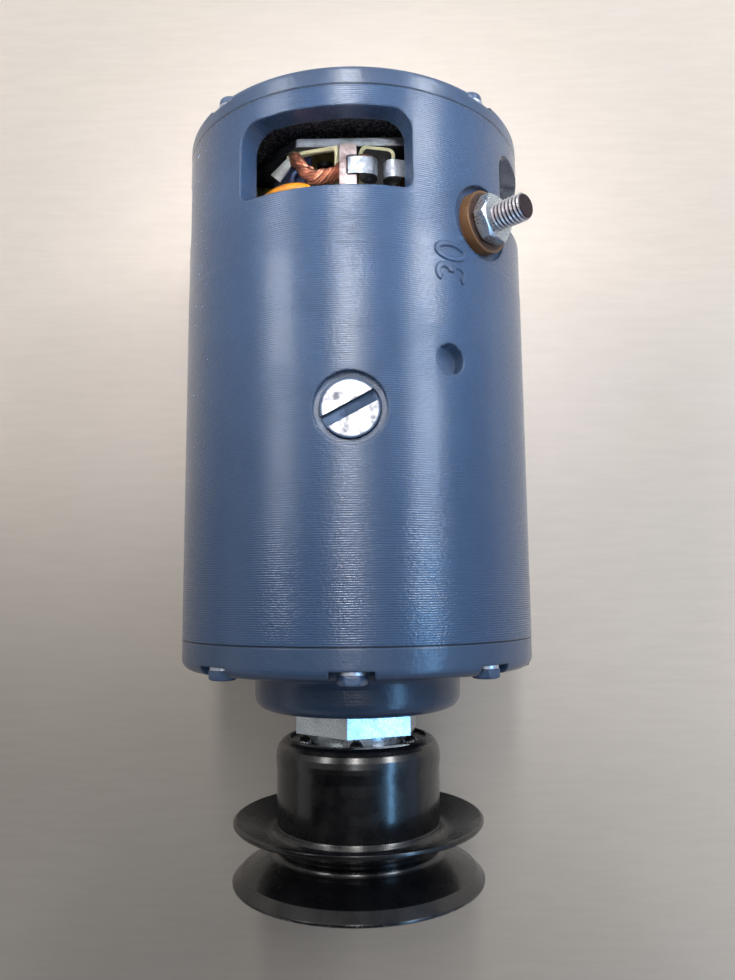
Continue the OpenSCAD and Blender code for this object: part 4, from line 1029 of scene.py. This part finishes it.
@dataclass
class BrushGear:
    """What shows in the windows: the springs, their brackets, the pigtails, their tabs and a sleeved lead."""

    finishes: FinishBook
    gear_turn: float = -0.9
    box_turn: float = 14.2
    box_y: float = 62.75
    brush_top: float = 36.2
    ribbon_y: float = 61.75
    ribbon_w: float = 5.4
    ribbon_t: float = 0.38
    ribbon_sag: float = 0.35
    roll_r: float = 3.0
    roll_x: float = 3.8
    bracket_top: float = 42.3
    tab_top: float = 37.8
    bracket_w: float = 5.2
    bracket_gap: float = 6.2
    sheet: float = 1.5
    tab_turn: float = -27.9
    lead_r: float = 42.8
    sleeve_r: float = 1.8
    strands: int = 11
    strand_r: float = 0.5
    lay_r: float = 1.4
    twists: float = 2.2
    belly: float = 0.3
    roll_bore: float = 0.9
    roll_turns: float = 4.0
    roll_points: int = 132

    def pigtail_path(self, station: float) -> list[Vector]:
        """The middle line of one pigtail, from its brush to its tab.

        Args:
            station: Turn of the brush from the first one, in degrees.

        Returns:
            The points of the line.
        """
        t, y, low = self.box_turn, self.box_y, self.brush_top + 0.4
        rows = [(t - 4.6, low - 0.6, y + 3.9), (t - 6, low + 0.6, y + 3.4), (t - 9, low + 1.2, y + 2.4),
                (t - 13, low + 1.5, y + 0.8), (t - 17.5, low + 1.9, y - 0.8), (t - 21.5, low + 2.2, y - 2),
                (t - 26, low + 2.5, y - 2.6), (t - 30.5, low + 3, y - 2.2), (t - 34.5, low + 3.4, y + 0.6),
                (t - 37.8, low + 3.2, y + 3.8), (t - 39.6, low + 2.4, y + 5.6), (t - 40, low + 1.2, y + 6)]
        return smooth_path([polar(station + self.gear_turn + a, r, p) for a, r, p in rows], 5)

    def pigtails(self) -> None:
        """Makes the four pigtails from twisted strands."""
        curve = curve_of("pigtail_lines", [self.pigtail_path(90 * k) for k in range(4)])
        rope = rope_tree().bake("pigtail_braids", curve, self.finishes["braid_copper"], Strands=self.strands,
                                Lay_radius=self.lay_r * MM, Strand_radius=self.strand_r * MM,
                                Twists=self.twists, Belly=self.belly)
        adopt(rope, Body.HOUSING, "copper", "pigtails")

    def field_lead(self) -> None:
        """Makes the sleeved lead that loops up behind the first window."""
        rows = [(-46, 45.0), (-43.5, 50.5), (-39, 54.2), (-34, 55.6), (-28, 56.1), (-22.5, 55.7), (-18, 54.6),
                (-14.8, 51.5), (-14, 47.0)]
        curve = curve_of("lead_line", [smooth_path([polar(a, self.lead_r, y) for a, y in rows], 6)])
        lead = rope_tree().bake("sleeved_lead", curve, self.finishes["yellow_sleeve"], Strands=1,
                                Lay_radius=0.0, Strand_radius=self.sleeve_r * MM, Sides=24)
        adopt(lead, Body.HOUSING, "yellow_sleeve", "field_lead")

    def ribbon(self, side: int) -> bpy.types.Mesh:
        """One rolled ribbon at the top of the machine, hooked into its bracket.

        Args:
            side: 1 for the roll on the low side of the brush, and -1 for its mirror image.

        Returns:
            The mesh.
        """
        centre = Vector((-self.roll_x, self.brush_top + self.roll_r))
        hook = Vector((-self.bracket_top * math.sin(math.radians(self.box_turn)) + 0.6,
                       self.bracket_top * math.cos(math.radians(self.box_turn)) - 0.2))
        line = []
        for i in range(self.roll_points + 1):
            a = math.tau * self.roll_turns * i / self.roll_points
            r = self.roll_bore + (self.roll_r - 0.22 - self.roll_bore) * i / self.roll_points
            line.append(centre + Vector((-math.sin(a), math.cos(a))) * r)
        top = line[-1]
        for i in range(1, 13):
            t = i / 12
            sag = self.ribbon_sag * math.sin(math.pi * t)
            line.append(top.lerp(hook, t) + Vector((0, sag)))
        line += [hook + Vector((-0.35, -0.3)), hook + Vector((-0.4, -1.2))]
        verts, faces = [], []
        for i, p in enumerate(line):
            d = (line[min(i + 1, len(line) - 1)] - line[max(i - 1, 0)]).normalized()
            n = Vector((-d.y, d.x)) * self.ribbon_t / 2
            for q in (p - n, p + n):
                for y in (self.ribbon_y - self.ribbon_w / 2, self.ribbon_y + self.ribbon_w / 2):
                    verts.append(Vector((side * q.x, y, q.y)) * MM)
        for i in range(len(line) - 1):
            a, b = 4 * i, 4 * i + 4
            faces += [(a, a + 1, b + 1, b), (a + 2, b + 2, b + 3, a + 3), (a, b, b + 2, a + 2),
                      (a + 1, a + 3, b + 3, b + 1)]
        last = 4 * (len(line) - 1)
        faces += [(0, 2, 3, 1), (last, last + 1, last + 3, last + 2)]
        return mesh_of("ribbon", verts, faces)

    def springs(self) -> None:
        """Makes the pair of ribbons of each brush, on the brush's own body, with dark steel on the rolls' end
        faces as painted shade.
        """
        for k in range(4):
            mesh = joined(f"ribbon_pair_{k + 1}", [self.ribbon(1), self.ribbon(-1)])
            mesh.transform(Matrix.Rotation(math.radians(self.gear_turn + self.box_turn + 90 * k), 4, "Y"))
            piece = new_piece(f"ribbon_pair_{k + 1}", mesh, self.finishes["spring_steel"])
            # Painted shade: the faces across the ribbon's width, which make the rolls' end faces, get the dark
            # steel.
            piece.data.materials.append(self.finishes["dark_steel"])
            for face in piece.data.polygons:
                face.material_index = int(abs(face.normal.y) > 0.9)
            adopt(piece, Body(f"brush_{k + 1}"), "spring_steel", f"brush_springs_{k + 1}")

    def around(self, name: str, shapes: Sequence[bpy.types.Mesh], finish: str) -> bpy.types.Object:
        """Copies the shapes of the first station to all four.

        Args:
            name: Name of the new piece.
            shapes: Meshes of the first station.
            finish: Name of their finish.

        Returns:
            The new piece.
        """
        return ring_tree().bake(name, joined(name, shapes), self.finishes[finish], Count=4, First_turn=0.0)

    def hook(self, reach: float) -> list[bpy.types.Mesh]:
        """One bracket: the C over the boxes with its round corners, its stem and its foot.

        Args:
            reach: How far the foot runs past the stem on the side of the boxes.

        Returns:
            Meshes that stand over the shaft at the top.
        """
        low, half, top = self.box_y - 10.45, self.bracket_w / 2, self.bracket_top
        high, foot, wing = self.ribbon_y + 6.9, low + self.sheet, half + reach
        slot_a, slot_b = self.ribbon_y - self.bracket_gap / 2, self.ribbon_y + self.bracket_gap / 2
        stem, nick, r = -half + 2.1, 0.5, 1.5
        corner = [(math.cos(math.radians(a)), math.sin(math.radians(a))) for a in range(0, 91, 15)]
        outline = [(half - r + r * c, high - r + r * d) for c, d in corner]
        outline += [(-half + r - r * d, high - r + r * c) for c, d in corner]
        outline += [(-half, low), (half, low), (half, slot_a), (stem + nick, slot_a), (stem, slot_a + nick),
                    (stem, slot_b - nick), (stem + nick, slot_b), (half, slot_b)]
        return [slab(outline, top - self.sheet, top, 0.22),
                slab([(-half, low), (half, low), (half, foot), (-half, foot)], 28, top - 0.3, 0.22),
                slab([(-half - 5, low), (wing, low), (wing, foot), (-half - 5, foot)], 28, 32, 0.22)]

    def hooks(self) -> None:
        """Makes the pairs of spring brackets, the second of each pair as the mirror image of the first."""
        first, second = self.hook(5), self.hook(0)
        mirror = Matrix.Rotation(math.radians(2 * self.box_turn), 4, "Y") @ Matrix.Scale(-1, 4, (1, 0, 0))
        for mesh in second:
            mesh.transform(mirror)
        for mesh in first + second:
            mesh.transform(Matrix.Rotation(math.radians(self.gear_turn), 4, "Y"))
        adopt(self.around("spring_hooks", first + second, "pink_steel"), Body.HOUSING, "bare_steel",
              "spring_brackets")

    def ring_screw(self, x: float, y: float, top: float, sides: int = 32) -> bpy.types.Mesh:
        """The round head of a tab's screw, with a deep socket.

        Args:
            x: Place of its middle across the shaft.
            y: Place of its middle along the shaft.
            top: Distance of the tab's top from the shaft axis.
            sides: Number of its sides.

        Returns:
            The mesh.
        """
        rows = [(1.4, 0.2), (1.4, 1.6), (1.8, 1.9), (2.7, 1.9), (3.1, 1.5), (3.1, -0.2)]
        n = len(rows)
        verts, faces = [], []
        for i in range(sides):
            a, after = math.tau * i / sides, (i + 1) % sides
            verts += [Vector((x + r * math.cos(a), y + r * math.sin(a), top + z)) * MM for r, z in rows]
            faces += [(n * i + j, n * i + j + 1, n * after + j + 1, n * after + j) for j in range(n - 1)]
        faces += [tuple(range(k, n * sides, n)) for k in (0, n - 1)]
        return mesh_of("screw", verts, faces)

    def tabs(self) -> None:
        """Makes the lead tabs: a dark plate, a bright strip folded over it and a screw with a socket."""
        y, top = self.box_y, self.tab_top
        plate = [slab([(-7.4, y - 3.4), (-1, y - 3.4), (0, y - 6), (6, y - 6), (6, y + 5.6), (-1, y + 5.6),
                       (-7.4, y)], top - 1.3, top, 0.2),
                 slab([(-7.4, y - 3.4), (-6.1, y - 3.4), (-6.1, y), (-7.4, y)], 27, top, 0.2)]
        strip = [slab([(-8.3, y + 2.8), (-5, y - 0.3), (0.6, y + 5.2), (-2, y + 6.6)], top - 0.1, top + 0.9,
                      0.25)]
        screw = [self.ring_screw(2.6, y - 1.6, top)]
        turn = Matrix.Rotation(math.radians(self.tab_turn), 4, "Y")
        for name, shapes, finish, nodes in (("lead_tab_plates", plate, "blued_steel", ["lead_tabs"]),
                                            ("lead_tab_strips", strip, "tin_strip", []),
                                            ("lead_tab_screws", screw, "blued_steel", ["lead_screws"])):
            for mesh in shapes:
                mesh.transform(turn)
            adopt(self.around(name, shapes, finish), Body.HOUSING, "zinc_steel", *nodes)

    def build(self) -> None:
        """Makes the pieces of the brush gear."""
        self.pigtails()
        self.springs()
        self.hooks()
        self.tabs()
        self.field_lead()


@dataclass
class Markings:
    """The plain terminal number that is stamped beside the main terminal."""

    finishes: FinishBook
    body_r: float = 56.0
    turn: float = 31.0
    start_y: float = 22.9
    width: float = 4.6
    height: float = 9.8
    gap: float = 1.9
    ridge: float = 0.5
    stroke_w: float = 1.9

    def strokes(self) -> list[list[tuple[float, float]]]:
        """The middle lines of the two digits.

        Returns:
            Points across and up, from 0 to 1, for each digit.
        """
        three = [(0.5 + 0.46 * math.sin(math.radians(a)), 0.745 + 0.235 * math.cos(math.radians(a)))
                 for a in range(-65, 185, 10)]
        three += [(0.5 + 0.5 * math.sin(math.radians(a)), 0.265 + 0.255 * math.cos(math.radians(a)))
                  for a in range(5, 255, 10)]
        nought = [(0.5 + 0.46 * math.sin(math.radians(a)) * abs(math.sin(math.radians(a))) ** -0.12,
                   0.5 + 0.49 * math.cos(math.radians(a))) for a in range(3, 364, 9)]
        return [three, nought]

    def sweep(self, stroke: Sequence[tuple[float, float]], start: float) -> bpy.types.Mesh:
        """One flat-topped ridge along a stroke.

        Args:
            stroke: Middle line of the stroke.
            start: Place along the shaft of the digit's near side.

        Returns:
            The mesh, with its foot in the housing's wall.
        """
        flat = [Vector((self.height * (0.5 - up), start + across * self.width)) for across, up in stroke]
        profile = ((-0.5, -0.3), (-0.5, 0.0), (-0.36, self.ridge), (0.0, 0.8 * self.ridge), (0.36, self.ridge),
                   (0.5, 0.0), (0.5, -0.3))
        verts, faces = [], []
        for i, p in enumerate(flat):
            d = (flat[min(i + 1, len(flat) - 1)] - flat[max(i - 1, 0)]).normalized()
            n = Vector((-d.y, d.x)) * self.stroke_w
            for across, high in profile:
                q = p + n * across
                verts.append(polar(self.turn + math.degrees(q.x / self.body_r), self.body_r + high, q.y))
        w = len(profile)
        for i in range(len(flat) - 1):
            for j in range(w - 1):
                a = i * w + j
                faces.append((a, a + 1, a + w + 1, a + w))
        faces += [tuple(range(w)), tuple(range((len(flat) - 1) * w, len(flat) * w))]
        return mesh_of("ridge", verts, faces)

    def build(self) -> None:
        """Makes the digits as low ridges on the housing."""
        step = self.width + self.gap
        parts = [self.sweep(stroke, self.start_y + k * step) for k, stroke in enumerate(self.strokes())]
        name = "terminal_digits"
        adopt(new_piece(name, joined(name, parts), self.finishes["housing_paint"], 30), Body.HOUSING,
              "housing_paint")


@dataclass(frozen=True)
class Lamp:
    """One soft rectangular lamp that hangs round the shaft axis and faces it."""

    name: str
    turn: float
    distance: float
    y: float
    size: tuple[float, float]
    power: float
    colour: Colour
    diffuse: bool = True
    glossy: bool = True
    spread: float = 180.0
    lean: Optional[float] = None

    def hang(self) -> None:
        """Hangs the lamp, with its turn in degrees from straight up and its place in metres."""
        a = math.radians(self.turn)
        place = (self.distance * math.sin(a), self.y, self.distance * math.cos(a))
        lamp = area_lamp(self.name, place, self.size, self.power, self.colour)
        lamp.rotation_euler = (0, a, 0) if self.lean is None else (self.lean, 0, 0)
        lamp.data.spread = math.radians(self.spread)
        lamp.visible_diffuse = self.diffuse
        lamp.visible_glossy = self.glossy


def area_lamp(name: str, place: Sequence[float], size: tuple[float, float], power: float, colour: Colour
              ) -> bpy.types.Object:
    """Adds an area lamp.

    Args:
        name: Name of the lamp.
        place: Its place, in metres.
        size: Its width and length, in metres.
        power: Watts.
        colour: Colour of the light.

    Returns:
        The lamp, which still faces down.
    """
    light = bpy.data.lights.new(name, "AREA")
    light.shape = "RECTANGLE"
    light.size, light.size_y = size
    light.energy = power
    light.color = colour
    lamp = bpy.data.objects.new(name, light)
    lamp.location = place
    bpy.context.scene.collection.objects.link(lamp)
    return lamp


WARM, COOL, WHITE, SKY_BLUE = (1.0, 0.98, 0.96), (0.88, 0.94, 1.0), (1.0, 0.99, 0.98), (0.26, 0.58, 1.0)


@dataclass
class Studio:
    """The card, the lamps and the camera."""

    floor_z: float = -56.3
    floor_half: float = 6.0
    board_low: tuple[float, float] = (-0.8, -0.95)
    board_high: tuple[float, float] = (0.03, -0.15)
    board_z: float = 0.36
    lens_px: float = 785.43
    height_px: float = 980.0
    film_mm: float = 36.0
    eye: tuple[float, float, float] = (7.154, -63.763, 261.581)
    aim: tuple[float, float, float] = (0.12641, 0.01413, -0.00901)
    lamps: Sequence[Lamp] = (
        Lamp("overhead_lamp", -2, 1.0, 0.68, (0.12, 0.8), 4.8, WARM),
        Lamp("overhead_near", -2, 1.0, 0.06, (0.16, 0.42), 1.0, (0.95, 0.97, 1.0)),
        Lamp("left_lamp", -46, 1.1, 0.58, (0.14, 0.66), 3.2, (1.0, 0.98, 0.97)),
        Lamp("right_lamp", 49, 1.1, 0.6, (0.14, 0.7), 4.6, COOL),
        Lamp("overhead_sheen", -2, 1.1, 0.62, (0.2, 0.8), 6.5, WARM, diffuse=False),
        Lamp("left_sheen", -46, 1.1, 0.5, (0.24, 0.8), 5.0, WARM, diffuse=False),
        Lamp("right_sheen", 47, 1.1, 0.5, (0.24, 0.8), 5.5, WARM, diffuse=False),
        Lamp("right_window", 46, 1.2, -0.3, (0.16, 1.1), 6.5, SKY_BLUE, diffuse=False),
        Lamp("near_fill", 0, 0.9, -0.06, (0.12, 0.12), 0.06, WHITE, glossy=False, spread=14.0, lean=0.14),
        Lamp("near_sheen", 2, 0.92, -0.06, (0.5, 0.4), 0.3, WHITE),
    )

    def sheet(self, name: str, low: tuple[float, float], high: tuple[float, float], z: float,
              finish: bpy.types.Material) -> None:
        """Puts a flat sheet of the studio in the scene.

        Args:
            name: Name of the sheet.
            low: Its near left corner, in metres.
            high: Its far right corner.
            z: Its height.
            finish: Its material.
        """
        corners = (low, (high[0], low[1]), high, (low[0], high[1]))
        mesh = mesh_of(name, [Vector((x, y, z)) for x, y in corners], [(0, 1, 2, 3)])
        mesh.materials.append(finish)
        sheet = bpy.data.objects.new(name, mesh)
        bpy.context.scene.collection.objects.link(sheet)

    def floor(self) -> None:
        """Lays the card under the machine."""
        half = self.floor_half
        self.sheet("card", (-half, -half), (half, half), self.floor_z * MM, TableCard().build())

    def board(self) -> None:
        """Hangs a dark board over the near left of the card, above the camera's view, to shade it."""
        cloth = Grainy("shade_cloth", (0.02, 0.02, 0.022), (0.03, 0.03, 0.03)).build()
        self.sheet("shade", self.board_low, self.board_high, self.board_z, cloth)

    def key(self) -> None:
        """Hangs the large soft lamp at the far right, so that the card darkens towards the near left."""
        place = Vector((0.42, 0.5, 0.6))
        lamp = area_lamp("corner_lamp", place, (0.7, 0.7), 3.0, (1.0, 0.985, 0.97))
        lamp.rotation_euler = (Vector((0.05, 0.0, 0.0)) - place).to_track_quat("-Z", "Y").to_euler()
        lamp.visible_glossy = False

    def sky(self) -> None:
        """Lights the room evenly: pale at the sides, dark overhead, bluer towards the right."""
        world = bpy.data.worlds.new("room")
        bpy.context.scene.world = world
        world.use_nodes = True
        n = Nodes(world.node_tree)
        way = n.add("ShaderNodeTexCoord", {}).outputs["Generated"]
        right, _, up = n.add("ShaderNodeSeparateXYZ", {0: way}).outputs
        level = n.add("ShaderNodeMapRange", {0: up, 1: 0.1, 2: 0.75, 3: 0.55, 4: 0.12}).outputs[0]
        side = n.add("ShaderNodeMapRange", {0: right, 1: -0.2, 2: 0.9}).outputs[0]
        tint = n.add("ShaderNodeMix", {0: side, 6: (1.0, 0.97, 0.94), 7: (0.6, 0.8, 1.15)}, data_type="RGBA")
        background = n.tree.nodes["Background"]
        n.feed(background.inputs[0], tint.outputs[2])
        n.feed(background.inputs[1], level)

    def camera(self) -> None:
        """Sets the camera at the photograph's place."""
        data = bpy.data.cameras.new("camera")
        data.sensor_fit = "VERTICAL"
        data.sensor_height = self.film_mm
        data.lens = self.lens_px / self.height_px * self.film_mm
        data.clip_start = 0.01
        camera = bpy.data.objects.new("camera", data)
        camera.location = Vector(self.eye) * MM
        camera.rotation_euler = self.aim
        bpy.context.scene.collection.objects.link(camera)
        bpy.context.scene.camera = camera

    def build(self) -> None:
        """Sets up the whole studio."""
        self.floor()
        for lamp in self.lamps:
            lamp.hang()
        self.key()
        self.board()
        self.sky()
        self.camera()
        bpy.context.scene.view_settings.view_transform = "Standard"


def main() -> None:
    """Builds the machine's finishes and fine pieces, then the studio."""
    logging.basicConfig(level=logging.INFO, format="%(name)s: %(message)s")
    finishes = FinishBook()
    finishes.dress(frame["nodes"])
    Terminals(finishes).build()
    BrushGear(finishes).build()
    Markings(finishes).build()
    Studio().build()
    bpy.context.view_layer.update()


if __name__ == "__main__":
    main()
